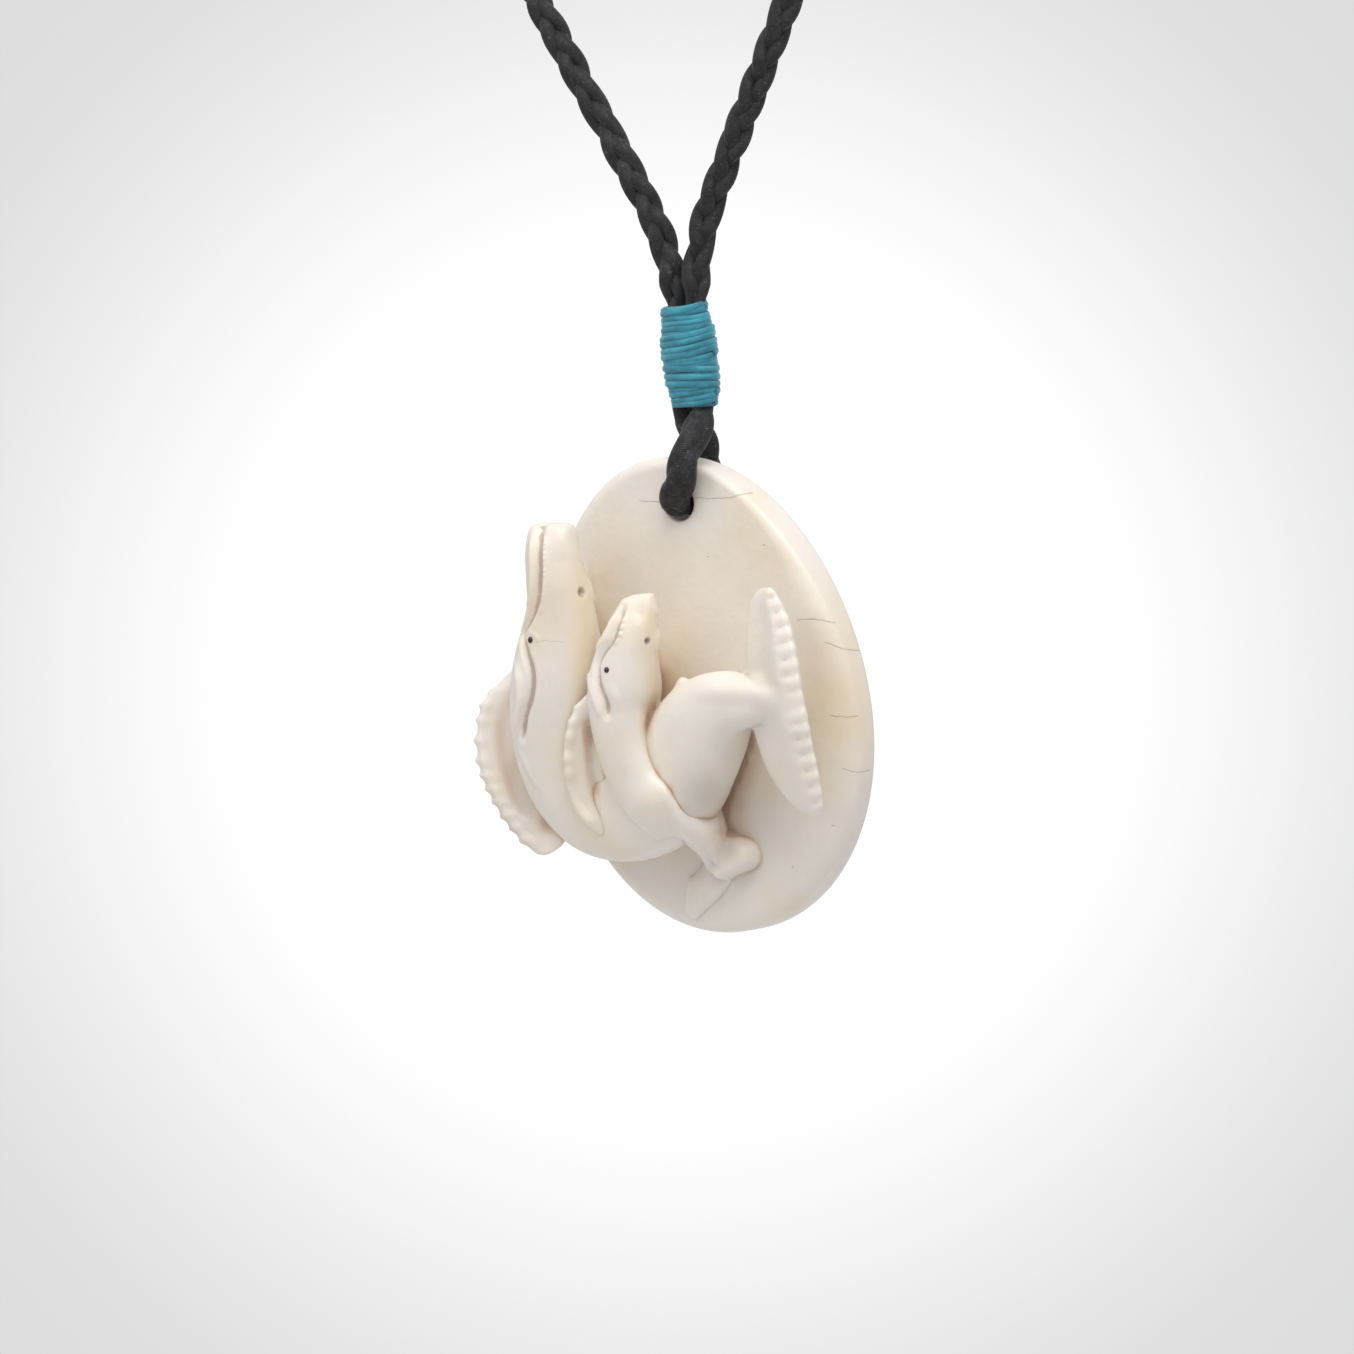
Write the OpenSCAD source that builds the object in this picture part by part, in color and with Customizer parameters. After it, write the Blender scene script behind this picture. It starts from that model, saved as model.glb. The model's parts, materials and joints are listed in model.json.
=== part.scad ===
// Carved mammoth ivory pendant: a whale and her calf in high relief on an oval plaque,
// hung from a plaited neck cord that a turquoise thread whipping gathers above the plaque.
// Millimetres, +Z up, the carved face towards -Y, the origin at the nape of the neck loop.

/* [Plaque] */
// Height of the oval plaque along its long axis
plaque_h = 48.2; // [46:0.1:50]
// Width of the oval plaque
plaque_w = 37.6; // [36:0.1:39]
// Thickness of the plaque
plaque_t = 4.7; // [4:0.1:5]
// How much narrower the plaque is at its top than at its foot
plaque_egg = 0.065; // [0:0.005:0.1]
// Lean of the oval's long axis, its top towards -X, in degrees
plaque_lean = 12; // [8:1:14]
// Radius of the plaque's rounded rim
rim_r = 1.2; // [0.6:0.1:1.6]
// Diameter of the cord hole
hole_d = 3.9; // [3.9:0.1:4.4]
// Height of the cord hole's centre above the plaque's centre
hole_z = 19.5; // [19:0.1:20]

/* [Whales] */
// Thickness of the two whales' bodies, as a share of the carved size
girth = 1; // [0.9:0.01:1.05]
// Diameter of the inlaid eyes
eye_d = 0.9; // [0.7:0.1:1.1]

/* [Cord] */
// Diameter of the plaited cord
cord_d = 2.9; // [2.6:0.1:3]
// Diameter of the cord where the whipping squeezes it
squeezed_d = 2.3; // [2:0.1:2.35]
// Length of the thread whipping
whip_len = 10.6; // [9:0.1:12]
// Thickness of the whipping's thread
thread_t = 0.35; // [0.3:0.05:0.5]

/* [Hidden] */
$fn = 48;

ivory = "ivory";
drop = 225;                            // the plaque's centre below the nape
cord_y = -100;                         // vertical plane in which the V of the cord hangs
face_y = cord_y - 2.2;                 // carved face of the plaque
back_y = face_y + plaque_t;            // plain back of the plaque
pend_x = -0.9;                         // plaque's centre, a little to the left of the cord's V
hinge_z = hole_z + 0.2;                // the cord's centreline in its hole, above the plaque's centre
join_z = -191;                         // where the neck cord and the hanging loop meet in the whipping
whip_low = -196.4;                     // lower end of the whipping
strand_x = 1.2;                        // half the distance of the two strands in the whipping
gap = 0.1;                             // running gap between separate pieces

// Places a point given as across, off the face, and up from the plaque's centre.
function spot(x, off, z) = [x + pend_x, face_y - off, z - drop];

// Curve through rows of numbers, with n steps between one row and the next.
function curve_at(a, b, c, d, t) = 0.5 * (2 * b + (c - a) * t + (2 * a - 5 * b + 4 * c - d) * t * t
    + (3 * b - a - 3 * c + d) * t * t * t);
function row_at(rows, i) = rows[max(0, min(len(rows) - 1, i))];
function smooth(rows, n) = [
    for (i = [0 : len(rows) - 2]) for (k = [0 : n - 1])
        curve_at(row_at(rows, i - 1), rows[i], rows[i + 1], row_at(rows, i + 2), k / n),
    rows[len(rows) - 1]];
function unit(v) = v / norm(v);

// Solid skin over a list of closed rings, with a flat cap at each end.
module skin(rings) {
    n = len(rings[0]);
    last = len(rings) - 1;
    points = [for (ring = rings) for (p = ring) p];
    sides = [for (i = [0 : last - 1]) for (j = [0 : n - 1]) let (k = (j + 1) % n)
        each [[i * n + j, (i + 1) * n + k, i * n + k], [i * n + j, (i + 1) * n + j, (i + 1) * n + k]]];
    caps = [[for (j = [0 : n - 1]) j], [for (j = [n - 1 : -1 : 0]) last * n + j]];
    polyhedron(points, concat(sides, caps), convexity = 8);
}

// Oval outline of the plaque, drawn in by a distance, at a height off the face.
outline_steps = 56;
function oval(inset, off) = [for (j = [0 : outline_steps - 1])
    let (t = -360 * j / outline_steps,
         across = (plaque_w / 2 - inset) * cos(t) * (1 - plaque_egg * sin(t)),
         up = (plaque_h / 2 - inset) * sin(t))
    spot(across * cos(plaque_lean) - up * sin(plaque_lean), off,
         across * sin(plaque_lean) + up * cos(plaque_lean))];

module plaque() {
    rim = [for (a = [0 : 30 : 90]) [rim_r * (1 - sin(a)), rim_r * (1 - cos(a))]];
    skin([for (r = rim) oval(r[0], -r[1]),
          for (i = [len(rim) - 1 : -1 : 0]) oval(rim[i][0], rim[i][1] - plaque_t)]);
}

// A whale's body is a skin over sections. Columns: across, off the face, up, half width, half depth,
// how far off the face its foot ends, the foot's width as a share of the body's, and how far the
// foot is set towards -X, so that from the right the head stands clear of the plaque.
mother_rows = [
    [-10.6, 7.6,  18.2, 1.5, 1.3,  6.0, 0.8, 0.4],
    [-10.6, 7.6,  17.6, 2.5, 2.1,  5.2, 0.7, 0.6],
    [-10.5, 7.5,  15.5, 2.9, 2.6,  4.8, 0.6, 1.0],
    [-10.3, 7.4,  12.8, 3.1, 2.9,  4.0, 0.5, 1.8],
    [-10.2, 7.2,   9.9, 3.4, 3.2,  1.4, 0.4, 2.6],
    [-10.8, 7.1,   6.9, 3.9, 3.5, -0.6, 0.4, 3.0],
    [-11.7, 7.0,   3.9, 4.2, 3.8, -0.6, 0.5, 3.0],
    [-12.4, 6.8,   0.4, 4.4, 4.0, -0.6, 0.6, 2.4],
    [-12.6, 6.4,  -3.6, 4.5, 4.0, -0.6, 0.6, 1.4],
    [-11.4, 5.9,  -7.4, 4.8, 4.0, -0.6, 0.6, 0.4],
    [ -8.4, 5.4, -10.2, 5.2, 4.0, -0.6, 0.6, 0],
    [ -4.2, 5.1, -10.4, 5.6, 4.0, -0.6, 0.7, 0],
    [ -0.2, 4.9,  -8.4, 5.8, 4.0, -0.6, 0.7, 0],
    [  2.8, 4.9,  -5.2, 5.5, 3.9, -0.6, 0.6, 0],
    [  5.6, 5.4,  -2.0, 4.5, 3.5, -0.6, 0.6, 0.4],
    [  8.8, 6.2,  -0.3, 3.4, 2.6,  1.0, 0.5, 0.8],
    [ 12.3, 6.8,   0.0, 2.5, 1.7,  4.8, 0.7, 0.4],
    [ 15.6, 6.6,  -0.1, 1.3, 0.9,  5.6, 0.8, 0]];
calf_rows = [
    [  0.0, 7.6,  10.9, 0.9, 0.9,  6.4, 0.8, 0.2],
    [  0.0, 7.6,  10.3, 1.8, 1.6,  6.0, 0.7, 0.4],
    [ -0.4, 7.8,   8.6, 2.3, 2.1,  5.4, 0.6, 0.9],
    [ -0.9, 7.9,   7.0, 2.7, 2.4,  4.4, 0.5, 1.6],
    [ -1.6, 8.0,   5.2, 3.0, 2.7,  2.4, 0.4, 2.8],
    [ -2.5, 8.2,   2.2, 3.3, 2.9, -0.6, 0.4, 4.0],
    [ -2.9, 8.3,  -0.6, 3.0, 2.8, -0.6, 0.5, 3.6],
    [ -2.5, 8.3,  -4.1, 2.8, 2.7, -0.6, 0.6, 2.4],
    [ -1.2, 7.9,  -7.6, 2.8, 2.6, -0.6, 0.6, 1.0],
    [  0.9, 6.9, -10.6, 2.5, 2.3, -0.6, 0.6, 0.4],
    [  2.8, 5.6, -13.2, 1.9, 1.7, -0.6, 0.7, 0],
    [  3.9, 4.6, -14.7, 1.4, 1.2,  2.0, 0.8, 0],
    [  4.9, 3.9, -16.2, 0.9, 0.8,  3.0, 0.9, 0]];

// One section: a half round towards the viewer, then sides that draw in to the foot.
down_side = [0.25, 0.6, 1];
up_side = [1, 0.6, 0.25];
function flank(r, side, s) = let (
        k = r[3] * girth * (r[6] + (1 - r[6]) * cos(90 * s)),
        across = r[0] - r[7] * s * s)
    spot(across + side[0] * k, r[1] + (r[5] - r[1]) * s, r[2] + side[1] * k);
function section(r, side) =
    [for (a = [0 : 22.5 : 180]) let (w = r[3] * girth * cos(a))
        spot(r[0] + side[0] * w, r[1] + r[4] * girth * sin(a), r[2] + side[1] * w),
     for (s = down_side) flank(r, -side, s),
     for (s = up_side) flank(r, side, s)];

module whale_body(rows) {
    r = smooth(rows, 2);
    skin([for (i = [0 : len(r) - 1])
        let (ahead = row_at(r, i + 1) - row_at(r, i - 1), run = unit([ahead[0], ahead[2]]))
        section(r[i], [-run[1], run[0]])]);
}

// A fin is a skin over cuts along its length. Columns: one edge as across, off, up, the other
// edge as across, off, up, and the thickness.
mother_flipper_rows = [
    [-18.2, 5.6,   3.6, -15.0, 5.0,   3.4, 0.8],
    [-19.6, 7.2,   1.7, -15.0, 4.6,   1.0, 1.4],
    [-20.8, 8.0,  -0.4, -15.5, 4.6,  -1.4, 1.7],
    [-21.3, 8.5,  -4.1, -15.5, 4.6,  -4.8, 1.8],
    [-20.5, 8.7,  -7.3, -14.8, 4.8,  -7.8, 1.8],
    [-18.5, 8.7, -10.9, -13.5, 5.2, -10.0, 1.7],
    [-16.9, 8.5, -12.9, -12.5, 5.6, -11.6, 1.5],
    [-15.2, 8.3, -14.7, -12.2, 6.4, -12.9, 1.2],
    [-13.8, 8.0, -15.0, -12.4, 7.0, -13.6, 0.8]];
calf_flipper_rows = [
    [ -5.8, 9.2,   1.6,  -4.4, 8.0,   1.4, 0.8],
    [ -7.2, 9.9,  -0.2,  -4.8, 7.8,  -0.6, 1.3],
    [ -8.2, 10.3, -3.0,  -5.0, 7.6,  -3.6, 1.6],
    [ -8.5, 10.4, -6.0,  -4.8, 7.4,  -6.4, 1.6],
    [ -8.2, 10.2, -9.0,  -4.2, 7.2,  -8.8, 1.5],
    [ -7.0, 9.8, -11.8,  -4.0, 7.4, -10.6, 1.3],
    [ -5.1, 9.0, -12.9,  -4.2, 8.0, -11.8, 0.8]];
mother_fluke_rows = [
    [ 14.0, 5.4,  11.3,  14.7, 5.2,  11.1, 0.5],
    [ 12.7, 5.6,   9.9,  15.6, 5.2,   9.6, 1.2],
    [ 12.1, 5.9,   8.0,  16.7, 5.3,   7.8, 1.6],
    [ 11.8, 6.4,   4.6,  17.8, 5.7,   4.4, 2.0],
    [ 11.9, 6.8,   1.6,  18.2, 6.0,   1.2, 2.3],
    [ 12.2, 6.8,  -1.6,  18.5, 5.9,  -1.2, 2.3],
    [ 12.5, 6.2,  -4.2,  18.6, 5.4,  -4.2, 2.1],
    [ 13.1, 5.2,  -7.5,  18.6, 4.6,  -7.5, 1.8],
    [ 14.4, 4.2, -10.3,  18.3, 3.9, -10.2, 1.4],
    [ 16.2, 3.6, -11.7,  17.4, 3.5, -11.7, 0.6]];
calf_fluke_rows = [
    [  9.6, 4.0, -15.8,  10.0, 3.7, -16.5, 0.5],
    [  8.6, 4.3, -14.7,   9.0, 3.5, -17.0, 1.1],
    [  6.8, 4.5, -14.0,   7.2, 3.3, -17.6, 1.5],
    [  4.6, 4.6, -14.4,   5.9, 3.1, -18.1, 1.8],
    [  2.4, 4.3, -16.0,   5.0, 2.9, -19.0, 1.8],
    [  0.8, 3.6, -18.4,   3.9, 2.7, -20.2, 1.5],
    [ -0.2, 3.0, -20.4,   2.6, 2.6, -21.2, 1.1],
    [  0.1, 2.7, -22.0,   1.0, 2.6, -22.1, 0.5]];

// One cut across a fin, from edge to edge, full in its middle and round at both edges.
function fin_cut(r) = let (a = [r[0], r[1], r[2]], b = [r[3], r[4], r[5]], half = (b - a) / 2,
        lift = unit([-half[1], half[0], 0]) * r[6] / 2)
    [for (t = [0 : 45 : 315]) let (p = (a + b) / 2 + half * cos(t) + lift * sin(t)) spot(p[0], p[1], p[2])];

module fin(rows) {
    r = smooth(rows, 2);
    skin([for (row = r) fin_cut(row)]);
}

// Eyes: where each sits, given as across, off the face, up, and the way it looks.
mother_eye_at = [-11.6, 10.4, 6.6];
calf_eye_at = [-2.1, 11.0, 3.4];
eye_deep = 0.8;

module at_eye(place, looks) {
    translate(spot(place[0], place[1], place[2])) rotate([90, 0, looks]) children();
}

module eye(place, looks) {
    color([0.05, 0.04, 0.04]) at_eye(place, looks) intersection() {
        translate([0, 0, -eye_deep]) cylinder(d = eye_d, h = 2 * eye_deep);
        translate([0, 0, -eye_d * 0.6]) sphere(d = eye_d * 1.5);
    }
}

module eye_socket(place, looks) {
    at_eye(place, looks) translate([0, 0, -eye_deep - gap]) cylinder(d = eye_d + gap, h = 3);
}

mother_looks = -12;
calf_looks = 0;

module carved_pendant() {
    color(ivory) difference() {
        union() {
            plaque();
            whale_body(mother_rows);
            whale_body(calf_rows);
            fin(mother_flipper_rows);
            fin(calf_flipper_rows);
            fin(mother_fluke_rows);
            fin(calf_fluke_rows);
        }
        translate(spot(0, 3, hole_z)) rotate([-90, 0, 0]) cylinder(d = hole_d, h = plaque_t + 6);
        eye_socket(mother_eye_at, mother_looks);
        eye_socket(calf_eye_at, calf_looks);
    }
}

module mother_eye() eye(mother_eye_at, mother_looks);
module calf_eye() eye(calf_eye_at, calf_looks);

// Right half of the neck cord's route, from inside the whipping up the V and round to the nape.
neck_route = [
    [strand_x, cord_y, join_z], [strand_x, cord_y, -189], [strand_x, cord_y, -187], [1.3, cord_y, -185],
    [1.7, cord_y, -182], [3.2, cord_y, -177.5], [7.4, cord_y, -170], [19, cord_y, -150],
    [28, cord_y, -135], [37, cord_y, -120], [46, cord_y, -105], [54, -99.5, -90], [62, -97, -75],
    [69, -91, -60], [74, -82, -47], [76, -71, -36], [74, -58, -27], [68, -44, -19], [59, -31, -13],
    [47, -19, -8], [33, -9, -4], [17, -2.5, -1], [0, 0, 0]];

// The loop's strand in front of the plaque, and the strand behind it.
loop_front = [
    [strand_x, cord_y, join_z], [strand_x, cord_y, -193], [strand_x, cord_y, -196.2],
    [1.35, -100.55, -197.4], [1.55, -102.3, -198.9], [1.6, -103.5, -200.1], [1.3, -104.3, -201.8]];
loop_back = [
    [-1.9, -95.3, -201.8], [-1.85, -96, -200.1], [-1.7, -97.6, -198.7], [-1.35, -99.4, -197.4],
    [-strand_x, cord_y, -196.2], [-strand_x, cord_y, -193], [-strand_x, cord_y, join_z]];
seat = 0.3;                            // the cord stands this far off the plaque
bend_r = cord_d / 2 + seat;            // bend of the cord round the hole's edge
front_x = 0.1;
rear_x = -1.7;

// A quarter turn of the cord at one mouth of the hole, from beside the plaque to inside it.
function turn(mouth_y, side, beside_x, a) =
    [pend_x + (beside_x - pend_x) * (1 - sin(a)), mouth_y + side * bend_r * cos(a),
     hinge_z - drop + bend_r * (1 - sin(a))];

// Skin of round section carried along a route, its ring turned as little as the route allows.
function runs(p) = [for (i = [0 : len(p) - 1]) unit(row_at(p, i + 1) - row_at(p, i - 1))];
function carried(t, i, n) = i == len(t) ? []
    : let (m = unit(n - (n * t[i]) * t[i])) concat([m], carried(t, i + 1, m));
module tube(route, radii, first) {
    t = runs(route);
    n = carried(t, 0, first);
    skin([for (i = [0 : len(route) - 1]) let (b = cross(t[i], n[i]))
        [for (j = [0 : 7]) route[i] + radii[i] * (cos(45 * j) * n[i] + sin(45 * j) * b)]]);
}

// The cord is squeezed where the whipping binds it, and full again 2 mm out of it.
function cord_r(z) = let (out = max(z - whip_low - whip_len, whip_low - z) / 1.6 - 0.25)
    (squeezed_d + (cord_d - squeezed_d) * max(0, min(1, out))) / 2;

module neck_cord() {
    half = smooth(neck_route, 2);
    route = concat(half, [for (i = [len(half) - 2 : -1 : 0]) [-half[i][0], half[i][1], half[i][2]]]);
    color([0.1, 0.09, 0.08]) tube(route, [for (p = route) cord_r(p[2])], [0, -1, 0]);
}

module hanging_loop() {
    into = [for (a = [0 : 22.5 : 90]) turn(face_y, -1, front_x, a)];
    out = [for (a = [90 : -22.5 : 0]) turn(back_y, 1, rear_x, a)];
    route = concat(smooth(loop_front, 2), into, out, smooth(loop_back, 2));
    color([0.1, 0.09, 0.08]) tube(route, [for (p = route) cord_r(p[2])], [0, -1, 0]);
}

// Outline of two strands side by side, drawn out by a distance.
module two_strands(r) {
    for (s = [-1, 1]) translate([s * strand_x, 0]) circle(r);
    translate([-strand_x, -r]) square([2 * strand_x, 2 * r]);
}

module whipping() {
    bore_r = squeezed_d / 2 + gap;
    color([0.17, 0.58, 0.69]) translate([0, cord_y, whip_low]) linear_extrude(whip_len) difference() {
        two_strands(bore_r + thread_t);
        two_strands(bore_r);
    }
}

carved_pendant();
mother_eye();
calf_eye();
neck_cord();
hanging_loop();
whipping();
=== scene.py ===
"""Carved mammoth ivory pendant on a plaited neck cord: its meshes, finishes, light and camera.

The ivory is worked out in carving space: millimetres from the centre of the plaque's face, X across,
Y into the plaque and Z up. A height off the face is therefore a negative Y.
"""

from __future__ import annotations

import json
import logging
import math
from dataclasses import dataclass, field
from enum import Enum

import bpy
import numpy as np
from mathutils import Matrix, Vector
from mathutils.bvhtree import BVHTree

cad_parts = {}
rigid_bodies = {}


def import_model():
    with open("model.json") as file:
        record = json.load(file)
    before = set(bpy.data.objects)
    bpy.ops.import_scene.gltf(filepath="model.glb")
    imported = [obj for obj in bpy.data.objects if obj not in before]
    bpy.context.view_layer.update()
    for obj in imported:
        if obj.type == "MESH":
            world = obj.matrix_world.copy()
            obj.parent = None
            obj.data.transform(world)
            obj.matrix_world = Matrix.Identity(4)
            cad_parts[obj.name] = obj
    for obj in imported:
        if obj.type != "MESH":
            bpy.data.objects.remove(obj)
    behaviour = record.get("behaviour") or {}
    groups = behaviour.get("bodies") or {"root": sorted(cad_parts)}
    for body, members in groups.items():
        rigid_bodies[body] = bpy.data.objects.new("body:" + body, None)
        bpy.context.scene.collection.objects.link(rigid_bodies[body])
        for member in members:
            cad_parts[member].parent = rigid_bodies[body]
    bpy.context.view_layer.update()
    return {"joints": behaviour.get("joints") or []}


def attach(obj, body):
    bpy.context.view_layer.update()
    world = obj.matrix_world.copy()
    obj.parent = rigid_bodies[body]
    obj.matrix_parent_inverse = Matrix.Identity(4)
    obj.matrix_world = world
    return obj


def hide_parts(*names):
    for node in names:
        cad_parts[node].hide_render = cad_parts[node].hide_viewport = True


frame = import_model()
LOG = logging.getLogger("pendant")

MM = 0.001
STROKE_STEP = 0.06  # between the points of a stroke
PLAQUE_CENTRE = np.array([-0.9, -102.2, -225.0])  # the face's centre, mm in the frame
PENDANT_BODY = frame["joints"][0]["child"]
NECKLACE_BODY = frame["joints"][0]["parent"]

Array = np.ndarray


class Mark(Enum):
    """What a stroke of the graver leaves."""

    GROOVE = -1
    RIDGE = 1


def flow(rows: Array, steps: int) -> Array:
    """Run a smooth curve through rows of numbers.

    Each span is the Catmull-Rom cubic of its own two rows and their neighbours.

    Args:
        rows: One row for each place that the curve passes.
        steps: Samples from one row to the next.

    Returns:
        The sampled rows, the last one included.
    """
    padded = np.vstack([rows[:1], rows, rows[-1:]])
    spans = len(rows) - 1
    t = np.linspace(0.0, 1.0, steps, endpoint=False)[None, :, None]
    a, b, c, d = (padded[i:spans + i, None, :] for i in range(4))
    curve = 0.5 * (2 * b + (c - a) * t + (2 * a - 5 * b + 4 * c - d) * t**2 + (3 * b - a - 3 * c + d) * t**3)
    return np.vstack([curve.reshape(-1, rows.shape[1]), rows[-1:]])


def unit(vectors: Array) -> Array:
    """Scale each vector of an array to length one."""
    return vectors / np.maximum(np.linalg.norm(vectors, axis=-1, keepdims=True), 1e-12)


def skin(rings: Array, capped: bool = True) -> tuple[Array, Array]:
    """Cover a row of closed rings with triangles.

    Args:
        rings: Array of rings, points round each, and coordinates.
        capped: Close both ends with a fan; without it the last ring joins the first.

    Returns:
        The points and the triangles' corners, facing outwards.
    """
    count, around = rings.shape[:2]
    points = rings.reshape(-1, 3)
    last = count - 1 if capped else count
    i, j = np.meshgrid(np.arange(last), np.arange(around), indexing="ij")
    nxt, side = (i + 1) % count, (j + 1) % around
    a, b = i * around + j, nxt * around + j
    c, d = nxt * around + side, i * around + side
    faces = np.concatenate([np.stack([a, d, c], -1).reshape(-1, 3), np.stack([a, c, b], -1).reshape(-1, 3)])
    if capped:
        ends = np.array([rings[0].mean(0), rings[-1].mean(0)])
        ring = np.arange(around)
        turn = (ring + 1) % around
        first = np.stack([np.full(around, len(points)), turn, ring], -1)
        final = (count - 1) * around
        other = np.stack([np.full(around, len(points) + 1), final + ring, final + turn], -1)
        points = np.vstack([points, ends])
        faces = np.vstack([faces, first, other])
    a, b, c = (points[faces[:, k]] - points.mean(0) for k in range(3))
    inside_out = (a * np.cross(b, c)).sum() < 0
    return points, faces[:, ::-1] if inside_out else faces


def joined(parts: list[tuple[Array, Array]]) -> tuple[Array, Array]:
    """Put several meshes' points and triangles into one pair of arrays."""
    starts = np.cumsum([0] + [len(p) for p, _ in parts[:-1]])
    return np.vstack([p for p, _ in parts]), np.vstack([f + s for (_, f), s in zip(parts, starts)])


def make_mesh(name: str, points: Array, faces: Array) -> bpy.types.Mesh:
    """Fill a new smooth-shaded mesh from arrays.

    Args:
        name: The mesh's name.
        points: Coordinates of the points.
        faces: Corners of the faces, the same number for each.

    Returns:
        The mesh.
    """
    mesh = bpy.data.meshes.new(name)
    count, corners = faces.shape
    mesh.vertices.add(len(points))
    mesh.vertices.foreach_set("co", points.astype(np.float32).ravel())
    mesh.loops.add(count * corners)
    mesh.loops.foreach_set("vertex_index", faces.astype(np.int32).ravel())
    mesh.polygons.add(count)
    mesh.polygons.foreach_set("loop_start", np.arange(0, count * corners, corners, dtype=np.int32))
    mesh.update(calc_edges=True)
    mesh.validate()
    mesh.shade_smooth()
    return mesh


def add_piece(mesh: bpy.types.Mesh, material: bpy.types.Material, body: str,
              nodes: list[str]) -> bpy.types.Object:
    """Make a piece of the object from a finished mesh.

    Args:
        mesh: The mesh, in metres in the frame.
        material: Its finish.
        body: The body that it rides on.
        nodes: The nodes that it stands for.

    Returns:
        The piece.
    """
    piece = bpy.data.objects.new(mesh.name, mesh)
    bpy.context.scene.collection.objects.link(piece)
    mesh.materials.clear()
    mesh.materials.append(material)
    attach(piece, body)
    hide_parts(*nodes)
    LOG.info("%s: %d triangles, for %s", piece.name, sum(len(p.vertices) - 2 for p in mesh.polygons), nodes)
    return piece


def modified(mesh: bpy.types.Mesh, kind: str, **settings: object) -> bpy.types.Mesh:
    """Run one modifier over a mesh.

    Args:
        mesh: The mesh to change; it is removed afterwards.
        kind: The modifier's kind.
        settings: Its settings by name.

    Returns:
        The changed mesh.
    """
    bench = bpy.data.objects.new("bench", mesh)
    bpy.context.scene.collection.objects.link(bench)
    modifier = bench.modifiers.new("work", kind)
    for name, value in settings.items():
        setattr(modifier, name, value)
    graph = bpy.context.evaluated_depsgraph_get()
    changed = bpy.data.meshes.new_from_object(bench.evaluated_get(graph))
    bpy.data.objects.remove(bench)
    bpy.data.meshes.remove(mesh)
    return changed


def surface_tree(mesh: bpy.types.Mesh) -> BVHTree:
    """Make a tree of a mesh's faces, for finding the surface along a line.

    Args:
        mesh: The mesh.

    Returns:
        The tree.
    """
    bench = bpy.data.objects.new("sighted", mesh)
    bpy.context.scene.collection.objects.link(bench)
    tree = BVHTree.FromObject(bench, bpy.context.evaluated_depsgraph_get())
    bpy.data.objects.remove(bench)
    return tree


@dataclass
class Clay:
    """A mesh being worked: its points, its edges and its outward normals as arrays."""

    mesh: bpy.types.Mesh
    points: Array = field(init=False)
    edges: Array = field(init=False)

    def __post_init__(self) -> None:
        """Read the mesh's points and edges."""
        self.points = np.empty(len(self.mesh.vertices) * 3, np.float32)
        self.mesh.vertices.foreach_get("co", self.points)
        self.points = self.points.reshape(-1, 3).astype(float)
        self.edges = np.empty(len(self.mesh.edges) * 2, np.int32)
        self.mesh.edges.foreach_get("vertices", self.edges)
        self.edges = self.edges.reshape(-1, 2)

    def put_back(self) -> None:
        """Write the points to the mesh."""
        self.mesh.vertices.foreach_set("co", self.points.astype(np.float32).ravel())
        self.mesh.update()

    def normals(self) -> Array:
        """Read the outward normals.

        Returns:
            One for each point.
        """
        found = np.empty(len(self.points) * 3, np.float32)
        self.mesh.vertex_normals.foreach_get("vector", found)
        return found.reshape(-1, 3).astype(float)

    def evened(self, values: Array, rounds: int, share: float = 0.5) -> Array:
        """Move the values at each point towards the mean of its neighbours' values, again and again.

        Args:
            values: A row of numbers for each point.
            rounds: How many times.
            share: How much of the way each time.

        Returns:
            The evened values.
        """
        ends = np.concatenate([self.edges[:, 0], self.edges[:, 1]])
        others = np.concatenate([self.edges[:, 1], self.edges[:, 0]])
        size, columns = values.shape
        degree = np.maximum(np.bincount(ends, minlength=size), 1)[:, None]
        moved = values.copy()
        for _ in range(rounds):
            mean = np.stack([np.bincount(ends, moved[others, k], size) for k in range(columns)], -1) / degree
            moved += share * (mean - moved)
        return moved

    def relaxed(self, rounds: int, share: float = 0.5) -> Array:
        """Return the points moved towards their neighbours."""
        return self.evened(self.points, rounds, share)

    def hollowness(self, rounds: int) -> Array:
        """Return how far each point lies under the relaxed surface, in the mesh's unit."""
        return ((self.relaxed(rounds) - self.points) * self.normals()).sum(-1)

    def paint(self, name: str, values: Array) -> None:
        """Keep one number for each point as an attribute."""
        layer = self.mesh.attributes.new(name, "FLOAT", "POINT")
        layer.data.foreach_set("value", values.astype(np.float32))


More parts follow.
